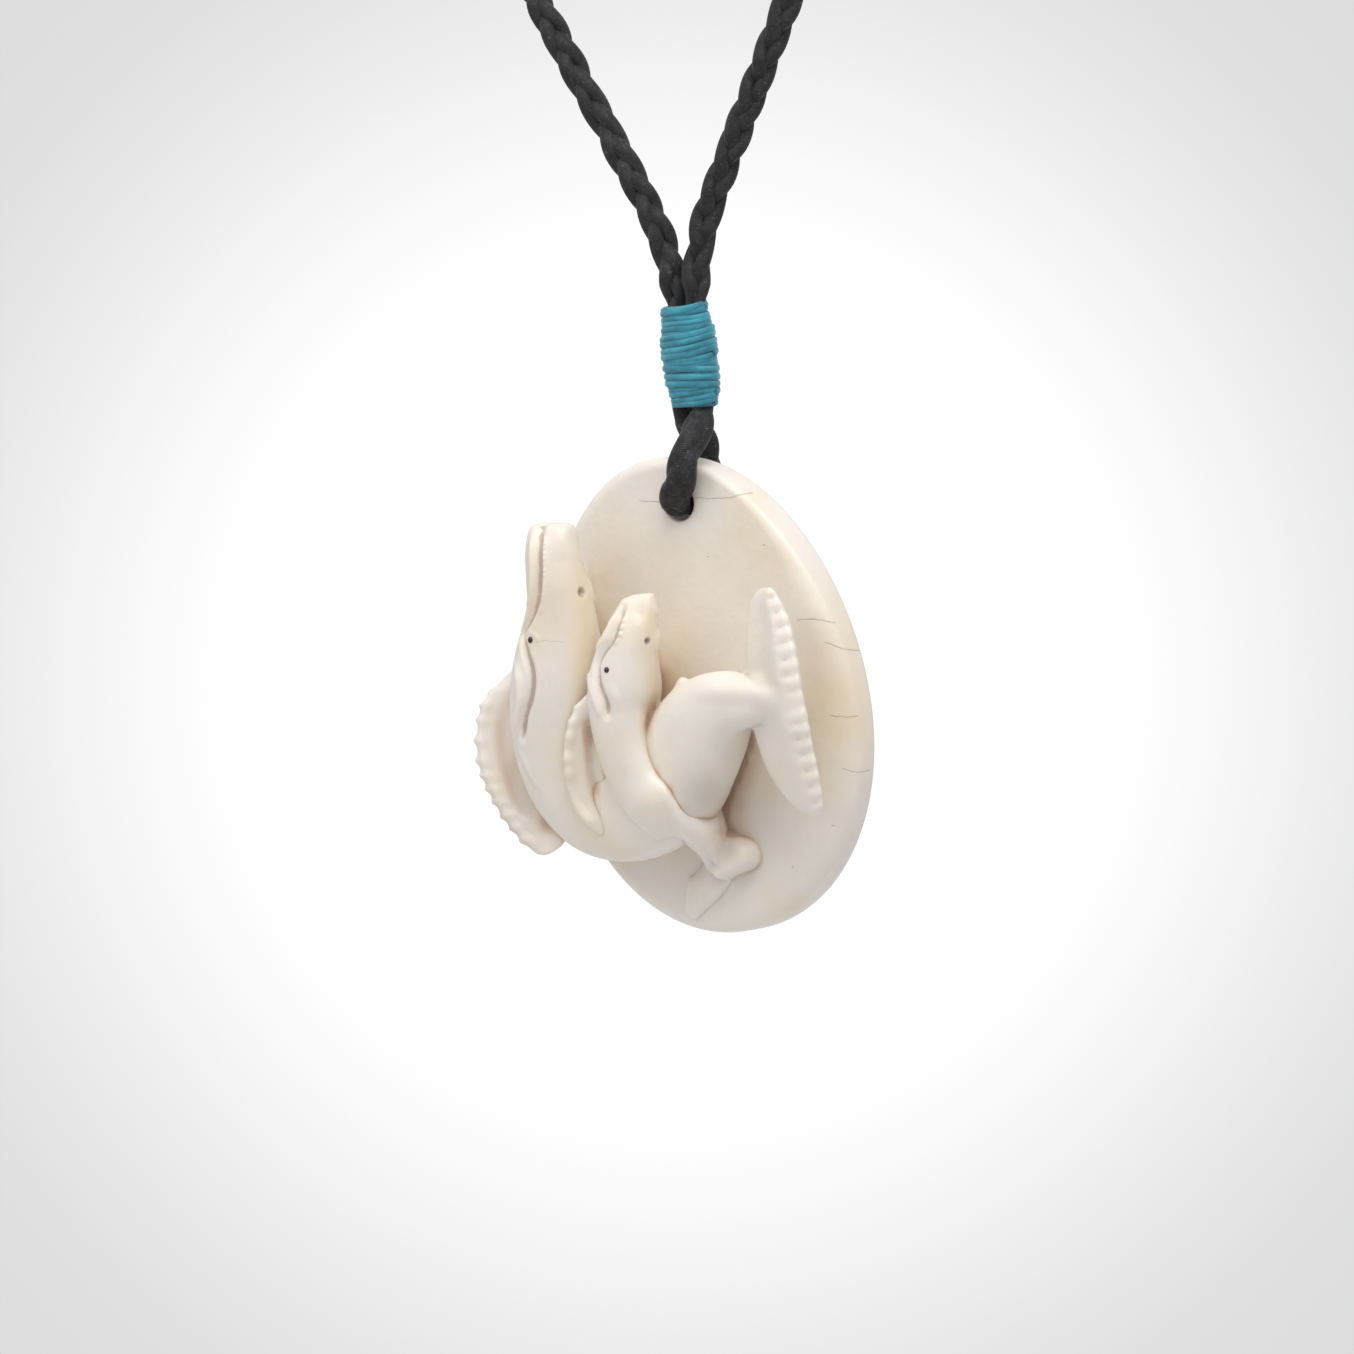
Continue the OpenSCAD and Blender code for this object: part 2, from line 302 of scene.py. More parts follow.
@dataclass(frozen=True)
class Sight:
    """The photograph's view of the pendant.

    A place seen in the photograph is given as millimetres right of and above the plaque's centre, in the
    plane through that centre that faces the camera.
    """

    azimuth: float = 38.0
    elevation: float = 4.0
    roll: float = 4.0
    distance: float = 1200.0
    frame_side: float = 135.4
    middle_right: float = -1.6
    middle_up: float = 1.9
    stand_off: float = 80.0

    def axes(self) -> tuple[Array, Array, Array]:
        """Work out the view's directions in the frame.

        Returns:
            The right, up and backward directions.
        """
        a, e, r = (math.radians(v) for v in (self.azimuth, self.elevation, self.roll))
        level = np.array([math.cos(a), math.sin(a), 0.0])
        back = np.array([math.sin(a) * math.cos(e), -math.cos(a) * math.cos(e), math.sin(e)])
        upright = np.cross(back, level)
        right = level * math.cos(r) - upright * math.sin(r)
        return right, level * math.sin(r) + upright * math.cos(r), back

    def seen(self, points: Array) -> Array:
        """Return where points of carving space are seen, as millimetres right and up."""
        right, up, _ = self.axes()
        return np.stack([points @ right, points @ up], -1)

    def on_height(self, spots: Array, off: Array | float) -> Array:
        """Find the places that are seen at some spots and lie given heights off the face.

        Args:
            spots: Millimetres right and up.
            off: Heights off the face.

        Returns:
            The points in carving space.
        """
        right, up, back = self.axes()
        plane = spots[:, :1] * right + spots[:, 1:2] * up
        return plane + ((-off - plane[:, 1]) / back[1])[:, None] * back

    def on_surface(self, tree: BVHTree, spots: Array) -> tuple[Array, Array]:
        """Find the first surface seen at each spot.

        Args:
            tree: The surface in carving space.
            spots: Millimetres right and up.

        Returns:
            The points hit and the surface's normals there.
        """
        right, up, back = self.axes()
        starts = spots[:, :1] * right + spots[:, 1:2] * up + self.stand_off * back
        hits = [tree.ray_cast(Vector(s), Vector(-back)) for s in starts]
        found = [(h[0], h[1]) for h in hits if h[0] is not None]
        return np.array([f[0] for f in found]), np.array([f[1] for f in found])

    def camera(self) -> None:
        """Make the scene's camera at the photograph's angle."""
        right, up, back = self.axes()
        middle = PLAQUE_CENTRE + right * self.middle_right + up * self.middle_up
        place = (middle + back * self.distance) * MM
        data = bpy.data.cameras.new("camera")
        data.sensor_width = 36.0
        data.lens = data.sensor_width * self.distance / self.frame_side
        data.clip_start, data.clip_end = 0.05, 50.0
        camera = bpy.data.objects.new("camera", data)
        bpy.context.scene.collection.objects.link(camera)
        turn = Matrix([[right[k], up[k], back[k], place[k]] for k in range(3)] + [[0.0, 0.0, 0.0, 1.0]])
        camera.matrix_world = turn
        bpy.context.scene.camera = camera


SIGHT = Sight()


@dataclass(frozen=True)
class Stroke:
    """One stroke of the graver, drawn where the photograph shows it."""

    spots: tuple[tuple[float, float], ...]
    width: float
    depth: float
    mark: Mark = Mark.GROOVE
    beads: int = 0
    fade_in: float = 2.5
    fade_out: float = 2.5
    batch: int = 4000

    def path(self, tree: BVHTree) -> Array:
        """Lay the stroke on a surface.

        Args:
            tree: The surface in carving space.

        Returns:
            The stroke's points, close together.
        """
        drawn = flow(np.array(self.spots, float), 12)
        length = np.linalg.norm(np.diff(drawn, axis=0), axis=1).sum()
        share = np.linspace(0, len(drawn) - 1, max(int(length / STROKE_STEP), 4))
        dense = np.stack([np.interp(share, np.arange(len(drawn)), drawn[:, k]) for k in range(2)], -1)
        return SIGHT.on_surface(tree, dense)[0]

    def carve(self, clay: Clay, normals: Array, path: Array) -> None:
        """Press the stroke into the clay, or raise it.

        A point at distance r from the path moves along its normal by the depth times a bell, 1 on the path
        and 0 at the stroke's width. The depth fades out towards both ends of the stroke, over the given
        numbers of widths, and beads break it into a row of bumps.

        Args:
            clay: The mesh being worked.
            normals: Its outward normals before the first stroke.
            path: The stroke's points on it.
        """
        low, high = path.min(0) - self.width, path.max(0) + self.width
        near = np.flatnonzero(((clay.points > low) & (clay.points < high)).all(1))
        run = np.linalg.norm(np.diff(path, axis=0), axis=1).sum()
        for part in np.array_split(near, max(len(near) // self.batch, 1)):
            gaps = np.linalg.norm(clay.points[part][:, None, :] - path[None, :, :], axis=-1)
            nearest = gaps.argmin(1)
            reach = np.clip(1.0 - gaps.min(1) / self.width, 0.0, 1.0)
            bell = reach**2 * (3.0 - 2.0 * reach)
            share = nearest / (len(path) - 1)
            widths = run / self.width
            ends = np.clip(np.minimum(share / self.fade_in, (1.0 - share) / self.fade_out) * widths, 0.0, 1.0)
            swell = np.sin(math.pi / 2 * ends) ** 2
            if self.beads:
                swell = swell * np.abs(np.sin(math.pi * self.beads * share)) ** 0.6
            clay.points[part] += normals[part] * (self.mark.value * self.depth * bell * swell)[:, None]


@dataclass
class Shelter:
    """How much of the open air before a place is taken up by the carving round it."""

    meshes: list[bpy.types.Mesh]
    reach: float = 7.0
    rays: int = 12
    opening: float = 0.94
    lift: float = 0.06
    turned_back: float = 0.35
    tree: BVHTree = field(init=False)

    def __post_init__(self) -> None:
        """Gather the whole carving in one tree."""
        points, faces, start = [], [], 0
        for mesh in self.meshes:
            points += Clay(mesh).points.tolist()
            faces += [[corner + start for corner in face.vertices] for face in mesh.polygons]
            start = len(points)
        self.tree = BVHTree.FromPolygons(points, faces)

    def measure(self, points: Array, normals: Array) -> Array:
        """Work out how sheltered each point is.

        Rays leave each point along its normal leaned towards directions spread evenly over a ball, number
        i standing at height 1 - (2 i + 1) / n and at i turns of the golden angle. A ray that meets the
        carving at distance d counts 1 - d / reach. Points that look to the back have no rays.

        Args:
            points: The points.
            normals: Their outward normals.

        Returns:
            From 0 in the open to 1 shut in.
        """
        number = np.arange(self.rays)
        rise = 1 - (2 * number + 1) / self.rays
        turn = number * math.pi * (3 - math.sqrt(5))
        flat = np.sqrt(1 - rise**2)
        spread = np.stack([flat * np.cos(turn), flat * np.sin(turn), rise], -1)
        seen = np.flatnonzero(normals[:, 1] < self.turned_back)
        starts = (points[seen] + normals[seen] * self.lift).tolist()
        hidden = np.zeros(len(seen))
        for lean in spread:
            rays = unit(normals[seen] + self.opening * lean).tolist()
            found = [self.tree.ray_cast(start, ray, self.reach)[3] for start, ray in zip(starts, rays)]
            hidden += [0.0 if gap is None else 1 - gap / self.reach for gap in found]
        sheltered = np.zeros(len(points))
        sheltered[seen] = hidden / self.rays
        return sheltered


@dataclass(frozen=True)
class Plaque:
    """The oval slab that the whales are carved from, with the cord's hole near its top."""

    height: float = 48.2
    width: float = 37.6
    thickness: float = 4.7
    egg: float = 0.065
    lean: float = 12.0
    hole_x: float = -0.2
    hole_z: float = 19.4
    hole_r: float = 1.82
    lip: float = 0.35
    back_round: float = 1.2
    crisp_at: float = 52.0
    soft_at: float = -28.0

    def outline(self, turn: Array, inset: Array) -> tuple[Array, Array]:
        """Work out the oval at some angles.

        Args:
            turn: The angles.
            inset: How far the oval is drawn in at each.

        Returns:
            Across and up.
        """
        across = (self.width / 2 - inset) * np.cos(turn) * (1 - self.egg * np.sin(turn))
        up = (self.height / 2 - inset) * np.sin(turn)
        lean = math.radians(self.lean)
        return across * math.cos(lean) - up * math.sin(lean), across * math.sin(lean) + up * math.cos(lean)

    def surface(self) -> tuple[Array, Array]:
        """Work out the slab as a ring, closed both round the oval and round its section.

        The section runs from the hole's edge over the face to the rim, down the wall and along the back to
        the hole again. The front edge is crisp at the upper right and rolls over softly at the right and
        below.

        Returns:
            The points and the triangles' corners.
        """
        turn = np.linspace(0, 2 * math.pi, 360, endpoint=False)
        degrees = np.degrees(turn)
        crisp = np.exp(-((np.abs((degrees - self.crisp_at + 180) % 360 - 180) / 34.0) ** 2))
        soft = np.exp(-((np.abs((degrees - self.soft_at + 180) % 360 - 180) / 50.0) ** 2))
        roll_in = 1.5 - 1.0 * crisp + 2.6 * soft
        roll_down = 1.1 - 0.7 * crisp + 0.9 * soft
        rows = []
        quarter = np.linspace(0, math.pi / 2, 9)
        for q in quarter:
            x, z = self.outline(turn, roll_in * (1 - math.sin(q)))
            rows.append(np.stack([x, roll_down * (1 - math.cos(q)), z], -1))
        for q in quarter[::-1]:
            x, z = self.outline(turn, np.full_like(turn, self.back_round * (1 - math.sin(q))))
            deep = self.thickness - self.back_round * (1 - math.cos(q))
            rows.append(np.stack([x, np.full_like(x, deep), z], -1))
        face, back = rows[0], rows[-1]
        heading = np.arctan2(face[:, 2] - self.hole_z, face[:, 0] - self.hole_x)

        def hole(q: float, deep: float) -> Array:
            """Return a circle round the hole's axis, widened by the lip at the quarter angle q."""
            radius = self.hole_r + self.lip * (1 - math.sin(q))
            return np.stack([self.hole_x + radius * np.cos(heading), np.full_like(heading, deep),
                             self.hole_z + radius * np.sin(heading)], -1)

        mouth = [hole(q, self.lip * (1 - math.cos(q))) for q in np.linspace(math.pi / 2, 0, 5)]
        exit_ring = [hole(q, self.thickness - self.lip * (1 - math.cos(q)))
                     for q in np.linspace(0, math.pi / 2, 5)]
        over = [mouth[-1] + (face - mouth[-1]) * s for s in np.linspace(0, 1, 90)[1:-1]]
        under = [back + (exit_ring[0] - back) * s for s in np.linspace(0, 1, 24)[1:-1]]
        return skin(np.array(mouth + over + rows + under + exit_ring), capped=False)

    def bore(self) -> tuple[Array, float]:
        """Return a place inside the hole, and how far round it shade is painted dark."""
        return np.array([self.hole_x, 2.2, self.hole_z]), 2.3


@dataclass(frozen=True)
class WhaleBody:
    """A whale's body as a skin over sections.

    Columns of the table: across, off the face, up, half width, half depth, how far off the face its foot
    ends, the foot's width as a share of the body's, and how far the foot is set towards -X.
    """

    rows: tuple[tuple[float, ...], ...]
    square: float = 2.2

    def surface(self) -> tuple[Array, Array]:
        """Work out the body: a full half round towards the viewer, then flanks drawn in to the foot.

        At angle a the front half lies at half width times cos(a) and half depth times sin(a), both raised
        to the power 2 / square. A flank's share s runs from the widest place to the foot, its half width
        falling as cos(90 s).

        Returns:
            The points and the triangles' corners.
        """
        rows = flow(np.array(self.rows, float), 12)
        ahead = np.gradient(rows[:, [0, 2]], axis=0)
        run = unit(ahead)
        side = np.stack([-run[:, 1], run[:, 0]], -1)
        angle = np.linspace(0, math.pi, 41)
        power = 2.0 / self.square
        wide = np.sign(np.cos(angle)) * np.abs(np.cos(angle)) ** power
        deep = np.sin(angle) ** power
        x = rows[:, :1] + side[:, :1] * rows[:, 3:4] * wide
        z = rows[:, 2:3] + side[:, 1:] * rows[:, 3:4] * wide
        off = rows[:, 1:2] + rows[:, 4:5] * deep
        share = np.linspace(0, 1, 10)[1:]
        half = rows[:, 3:4] * (rows[:, 6:7] + (1 - rows[:, 6:7]) * np.cos(share * math.pi / 2))
        fall = rows[:, 1:2] + (rows[:, 5:6] - rows[:, 1:2]) * share
        across = rows[:, :1] - rows[:, 7:8] * share**2
        left = np.stack([across - side[:, :1] * half, -fall, rows[:, 2:3] - side[:, 1:] * half], -1)
        right = np.stack([across + side[:, :1] * half, -fall, rows[:, 2:3] + side[:, 1:] * half], -1)
        front = np.stack([x, -off, z], -1)
        return skin(np.concatenate([front, left, right[:, ::-1]], 1))


@dataclass(frozen=True)
class Fin:
    """A flipper or a pair of flukes as a skin over cuts along its length.

    Columns of the table: one edge as across, off, up, the other edge as across, off, up, and the thickness.
    Where the fin is drawn, across and up are right and up as the photograph shows them.
    """

    rows: tuple[tuple[float, ...], ...]
    drawn: bool = False
    bump_at: tuple[float, ...] = ()
    bump_out: float = 0.0
    bump_wide: float = 0.5
    crest: float = 1.0
    dish: float = 0.0
    teeth: int = 0
    tooth_in: float = 0.0
    tooth_deep: float = 0.0
    tooth_lag: float = 0.22
    nose_share: float = 0.3

    def surface(self) -> tuple[Array, Array]:
        """Work out the fin.

        Across a cut, t runs from 0 at the first edge to 1 at the second. The front stands proud by half the
        thickness times a rounded nose, 1 - (1 - t / n)^2 to the power 1/2 up to the share n, and falls as a
        bevel from the crest to the second edge, or as another nose where there is no crest. The face is
        dished by a half wave of t. Bumps push the first edge out, each a narrow bell along the fin. Notches
        between teeth draw the second edge in a little and cut into the bevel as a half wave across it.

        Returns:
            The points and the triangles' corners.
        """
        rows = flow(np.array(self.rows, float), 24)
        first, second = rows[:, 0:3], rows[:, 3:6]
        if self.drawn:
            first = SIGHT.on_height(first[:, [0, 2]], first[:, 1]) * [1, -1, 1]
            second = SIGHT.on_height(second[:, [0, 2]], second[:, 1]) * [1, -1, 1]
        length = np.concatenate([[0], np.cumsum(np.linalg.norm(np.diff(first, axis=0), axis=1))])
        places = np.array(self.bump_at or (-99.0,))
        bells = np.exp(-(np.abs(length[:, None] - places) / self.bump_wide) ** 1.4)
        first = first + unit(first - second) * (self.bump_out * bells.sum(1))[:, None]
        second_run = np.concatenate([[0], np.cumsum(np.linalg.norm(np.diff(second, axis=0), axis=1))])
        t = np.concatenate([np.linspace(0, 1, 49), np.linspace(1, 0, 25)[1:-1]])
        front = np.arange(len(t)) < 49
        bevel_share = np.clip((t - self.crest) / max(1 - self.crest, 1e-6), 0, 1)
        turns = second_run[:, None] / second_run[-1] * self.teeth + self.tooth_lag * bevel_share
        notch = np.abs(np.cos(math.pi * turns)) ** 4 if self.teeth else np.zeros((len(rows), len(t)))
        span = second - first
        lift = unit(np.stack([-span[:, 1], span[:, 0], np.zeros(len(span))], -1))
        nose = np.sqrt(1 - (1 - np.clip(t / self.nose_share, 0, 1)) ** 2)
        tail = np.sqrt(1 - (1 - np.clip((1 - t) / self.nose_share, 0, 1)) ** 2)
        bevel = (1 - bevel_share) ** 0.7 if self.crest < 1 else tail
        hollow = 1 - self.dish * np.sin(math.pi * np.clip(t / self.crest, 0, 1) ** 0.8)
        height = np.where(front, nose * bevel * hollow, -nose * tail)[None, :] * rows[:, 6:7] / 2
        height = height - self.tooth_deep * notch * np.sin(math.pi * bevel_share**0.7) * front
        drawn_in = 1 - self.tooth_in * notch * bevel_share**2 / np.linalg.norm(span, axis=1)[:, None]
        cuts = first[:, None] + span[:, None] * (t[None, :] * drawn_in)[..., None]
        cuts = cuts + lift[:, None] * height[..., None]
        cuts[..., 1] *= -1
        return skin(cuts)


@dataclass(frozen=True)
class Lobe:
    """A fluke lobe that rises from the plaque, drawn by the outline of its foot.

    Columns of the table: right and up as the photograph shows them.
    """

    outline: tuple[tuple[float, float], ...]
    rise: float
    steep: float
    tilt: float
    sunk: float = 0.7

    def surface(self) -> tuple[Array, Array]:
        """Work out the lobe.

        At share s of the way from the middle to the foot it rises 1 - s^steep, and it is higher below its
        middle than above it by the tilt. Its foot is sunk in the slab.

        Returns:
            The points and the triangles' corners.
        """
        rows = np.array(self.outline, float)
        count = len(rows)
        drawn = flow(np.vstack([rows[-2:], rows, rows[:2]]), 8)[16:16 + 8 * count]
        edge = SIGHT.on_height(drawn, 0.0)
        middle = edge.mean(0)
        share = np.concatenate([[1.0], np.linspace(0.99, 0.05, 24)])[:, None, None]
        top = middle + (edge - middle) * share
        full = self.rise - self.tilt * (top[..., 2] - middle[2])
        top[..., 1] -= full * (1 - share[..., 0] ** self.steep)
        foot = edge + np.array([0.0, self.sunk, 0.0])
        return skin(np.concatenate([[foot], top]))


MOTHER = WhaleBody(rows=(
    (-10.6, 7.6, 18.2, 1.9, 0.8, 6.0, 0.8, 0.4),
    (-10.6, 7.6, 17.6, 2.5, 1.5, 5.2, 0.7, 0.6),
    (-10.5, 7.5, 15.5, 2.9, 2.45, 4.8, 0.6, 1.0),
    (-10.3, 7.4, 12.8, 3.1, 2.9, 3.7, 0.5, 1.8),
    (-10.2, 7.2, 9.9, 3.4, 3.2, 2.1, 0.4, 2.6),
    (-10.7, 7.1, 6.9, 4.0, 3.5, 0.3, 0.4, 3.0),
    (-11.3, 7.0, 3.9, 4.6, 3.8, -0.6, 0.5, 3.0),
    (-11.9, 6.8, 0.4, 4.9, 4.0, -0.6, 0.6, 2.4),
    (-12.1, 6.4, -3.6, 5.0, 4.0, -0.6, 0.6, 1.4),
    (-11.1, 5.9, -7.4, 5.1, 4.0, -0.6, 0.6, 0.4),
    (-8.4, 5.4, -10.2, 5.2, 4.0, -0.6, 0.6, 0.0),
    (-4.2, 5.1, -10.4, 5.6, 4.0, -0.6, 0.7, 0.0),
    (-0.2, 4.9, -8.4, 5.8, 4.0, -0.6, 0.6, 0.0),
    (2.8, 4.9, -5.2, 5.5, 3.9, -0.6, 0.42, 0.0),
    (5.6, 5.4, -2.0, 4.5, 3.5, -0.6, 0.5, 0.4),
    (8.8, 6.2, -0.3, 3.4, 2.6, 1.0, 0.5, 0.8),
    (12.3, 6.8, 0.0, 2.5, 1.7, 4.8, 0.7, 0.4),
    (15.6, 6.6, -0.1, 1.3, 0.9, 5.6, 0.8, 0.0)),
    square=2.35)
CALF = WhaleBody(rows=(
    (0.0, 7.6, 10.9, 1.2, 0.5, 6.4, 0.8, 0.2),
    (0.0, 7.6, 10.3, 1.8, 1.05, 6.0, 0.7, 0.4),
    (-0.4, 7.8, 8.6, 2.3, 1.95, 5.4, 0.6, 0.9),
    (-0.9, 7.9, 7.0, 2.7, 2.4, 4.4, 0.5, 1.6),
    (-1.6, 8.0, 5.2, 3.0, 2.7, 2.4, 0.4, 2.8),
    (-2.5, 8.2, 2.2, 3.3, 2.9, -0.6, 0.4, 4.0),
    (-2.9, 8.3, -0.6, 3.0, 2.8, -0.6, 0.5, 3.6),
    (-2.5, 8.3, -4.1, 2.8, 2.7, -0.6, 0.6, 2.4),
    (-1.2, 8.0, -7.6, 2.9, 2.6, -0.6, 0.6, 1.0),
    (0.9, 7.5, -10.6, 2.9, 2.5, -0.6, 0.6, 0.6),
    (2.7, 5.5, -13.0, 2.2, 1.8, -0.6, 0.6, 1.3),
    (2.6, 3.2, -15.0, 1.8, 1.1, -0.2, 0.6, 0.7),
    (2.3, 1.3, -16.8, 1.2, 0.6, 0.0, 0.7, 0.2)),
    square=2.4)
MOTHER_FLIPPER = Fin(rows=(
    (-18.2, 5.6, 3.6, -15.0, 5.0, 3.4, 0.8),
    (-19.6, 7.2, 1.7, -15.0, 4.6, 1.0, 1.4),
    (-20.8, 8.0, -0.4, -15.5, 4.6, -1.4, 1.7),
    (-21.3, 8.5, -4.1, -15.5, 4.6, -4.8, 1.8),
    (-20.5, 8.7, -7.3, -14.8, 4.8, -7.8, 1.8),
    (-18.5, 8.7, -10.9, -13.5, 5.2, -10.0, 1.7),
    (-16.9, 8.5, -12.9, -12.5, 5.6, -11.6, 1.5),
    (-15.2, 8.3, -14.7, -12.1, 6.4, -12.9, 1.3),
    (-14.2, 8.1, -15.1, -12.1, 6.7, -13.6, 1.1),
    (-13.4, 8.0, -15.0, -12.4, 7.0, -14.2, 0.8)),
    bump_at=(3.2, 4.9, 6.4, 8.5, 10.6, 12.2, 13.7, 15.2, 16.9, 18.5, 20.2), bump_out=0.5, bump_wide=0.42)
CALF_FLIPPER = Fin(rows=(
    (-5.8, 9.2, 1.6, -4.4, 8.0, 1.4, 0.8),
    (-7.2, 9.9, -0.2, -4.8, 7.8, -0.6, 1.3),
    (-8.2, 10.3, -3.0, -5.0, 7.6, -3.6, 1.6),
    (-8.5, 10.4, -6.0, -4.8, 7.4, -6.4, 1.6),
    (-8.2, 10.2, -9.0, -4.6, 7.2, -8.8, 1.5),
    (-7.0, 9.8, -11.8, -4.7, 7.4, -10.9, 1.3),
    (-5.9, 9.0, -13.1, -5.3, 8.0, -12.6, 0.8)),
    bump_at=(2.2, 3.8, 5.3, 7.6, 9.0), bump_out=0.4, bump_wide=0.4)
MOTHER_FLUKES = Fin(drawn=True, rows=(
    (6.9, 4.35, 10.75, 7.5, 5.85, 10.8, 0.5),
    (6.25, 4.35, 10.2, 8.05, 5.85, 10.2, 1.1),
    (5.8, 4.55, 9.2, 8.6, 5.85, 9.2, 1.5),
    (5.5, 4.85, 7.4, 9.4, 5.95, 7.5, 1.9),
    (5.35, 5.35, 5.1, 9.95, 6.35, 5.1, 2.1),
    (5.3, 5.65, 2.6, 10.35, 6.55, 2.8, 2.3),
    (5.5, 5.75, -0.1, 10.7, 6.65, 0.3, 2.3),
    (5.9, 5.45, -2.6, 11.3, 6.45, -2.6, 2.2),
    (6.5, 4.85, -4.6, 11.8, 5.85, -5.2, 2.0),
    (7.3, 4.25, -7.0, 12.3, 5.45, -7.4, 1.8),
    (8.5, 3.65, -9.1, 12.6, 5.05, -9.3, 1.6),
    (9.8, 3.25, -10.6, 12.75, 4.75, -10.7, 1.2),
    (11.0, 2.95, -11.55, 12.6, 4.55, -11.5, 0.8),
    (11.6, 2.85, -11.9, 12.3, 4.45, -11.85, 0.5)),
    crest=0.76, dish=0.22, teeth=15, tooth_in=0.22, tooth_deep=0.30)
MOTHER_BACK_FIN = Fin(rows=(
    (1.4, 5.2, 0.2, 2.4, 5.2, -0.8, 1.0),
    (2.3, 5.5, 1.5, 3.0, 5.4, 0.2, 2.0),
    (3.2, 5.8, 2.5, 3.6, 5.6, 0.8, 2.6),
    (4.0, 5.9, 2.3, 4.4, 5.6, 0.8, 2.2),
    (4.8, 6.0, 1.9, 5.2, 5.8, 0.8, 1.0)))
CALF_LOBES = (
    Lobe(outline=(
        (2.7, -13.1), (4.2, -13.6), (5.7, -14.2), (6.45, -14.8), (6.8, -15.7), (6.75, -16.6), (6.2, -17.2),
        (5.4, -17.6), (4.5, -17.95), (3.8, -18.4), (2.7, -17.6), (1.5, -16.6), (1.1, -15.2), (1.7, -13.8)),
        rise=2.3, steep=9.0, tilt=0.30),
    Lobe(outline=(
        (0.4, -17.0), (-0.3, -18.4), (-0.7, -19.9), (-0.8, -21.2), (-0.5, -22.1), (0.2, -22.5), (0.9, -21.9),
        (1.7, -21.2), (2.5, -20.5), (3.1, -19.8), (3.6, -19.0), (3.8, -18.3), (2.9, -17.2), (1.5, -16.4)),
        rise=1.15, steep=2.6, tilt=0.0))


MOTHER_STROKES = (
    Stroke(((-14.95, 17.3), (-15.35, 16.3), (-15.45, 14.6), (-15.45, 12.6), (-15.5, 10.8), (-15.75, 9.3),
            (-16.3, 7.9), (-16.95, 6.7), (-17.15, 5.9), (-16.8, 4.4), (-16.3, 2.8), (-16.15, 1.4),
            (-16.4, -0.4), (-16.9, -1.9), (-17.1, -3.4), (-17.15, -4.9)), 0.80, 0.60, fade_in=0.3),
    Stroke(((-16.0, 16.6), (-16.2, 14.6), (-16.15, 12.6), (-16.2, 10.8), (-16.45, 9.2), (-16.9, 8.0)),
           0.6, 0.22, Mark.RIDGE),
    Stroke(((-14.55, 16.4), (-14.7, 14.6), (-14.7, 12.6), (-14.75, 10.8), (-15.0, 9.2), (-15.6, 8.0)),
           0.55, 0.12, Mark.RIDGE),
    Stroke(((-14.7, 16.2), (-14.85, 14.6), (-14.85, 12.6), (-14.9, 10.8), (-15.15, 9.2)),
           0.42, 0.22, Mark.RIDGE, beads=15),
    Stroke(((-17.9, 5.2), (-17.8, 3.4), (-17.4, 1.4), (-17.3, -0.8), (-17.6, -2.6), (-17.5, -4.2)),
           1.0, 0.42, Mark.RIDGE),
    Stroke(((-18.2, -3.6), (-17.9, -5.2), (-17.2, -7.0), (-16.2, -8.9), (-15.2, -10.4)), 0.8, 0.18),
    Stroke(((-17.3, -5.2), (-16.7, -7.0), (-15.8, -9.0)), 0.7, 0.14, Mark.RIDGE),
    Stroke(((-16.5, 5.9), (-16.1, 6.2), (-15.7, 6.0), (-15.4, 5.4), (-15.6, 4.9)), 0.35, 0.10, Mark.RIDGE),
    Stroke(((-13.2, 16.0), (-13.1, 14.4), (-13.1, 12.4), (-12.9, 10.4)), 1.6, 0.26),
    Stroke(((-11.7, 16.5), (-11.2, 14.8), (-10.7, 12.8), (-10.3, 10.8), (-9.9, 9.2)), 0.9, 0.24, Mark.RIDGE),
    Stroke(((-11.4, 15.6), (-11.0, 14.0), (-10.6, 12.4), (-10.3, 10.8)), 0.4, 0.14, Mark.RIDGE, beads=8),
    Stroke(((-0.8, 1.3), (0.7, 0.7), (2.7, 0.6), (4.7, 0.5), (6.4, 0.1), (7.9, -0.6), (9.2, -1.3)),
           1.7, 0.22, Mark.RIDGE))
FLIPPER_STROKES = (
    Stroke(((-20.0, 0.6), (-20.8, -1.1), (-21.2, -2.9), (-21.2, -5.2), (-20.6, -7.9), (-19.4, -10.7),
            (-18.6, -12.1), (-17.0, -14.2), (-15.3, -15.2)), 0.8, 0.22, Mark.RIDGE),
    Stroke(((-19.0, -0.4), (-19.1, -3.9), (-18.5, -7.2), (-17.3, -10.4), (-15.7, -13.0)), 1.4, 0.45))
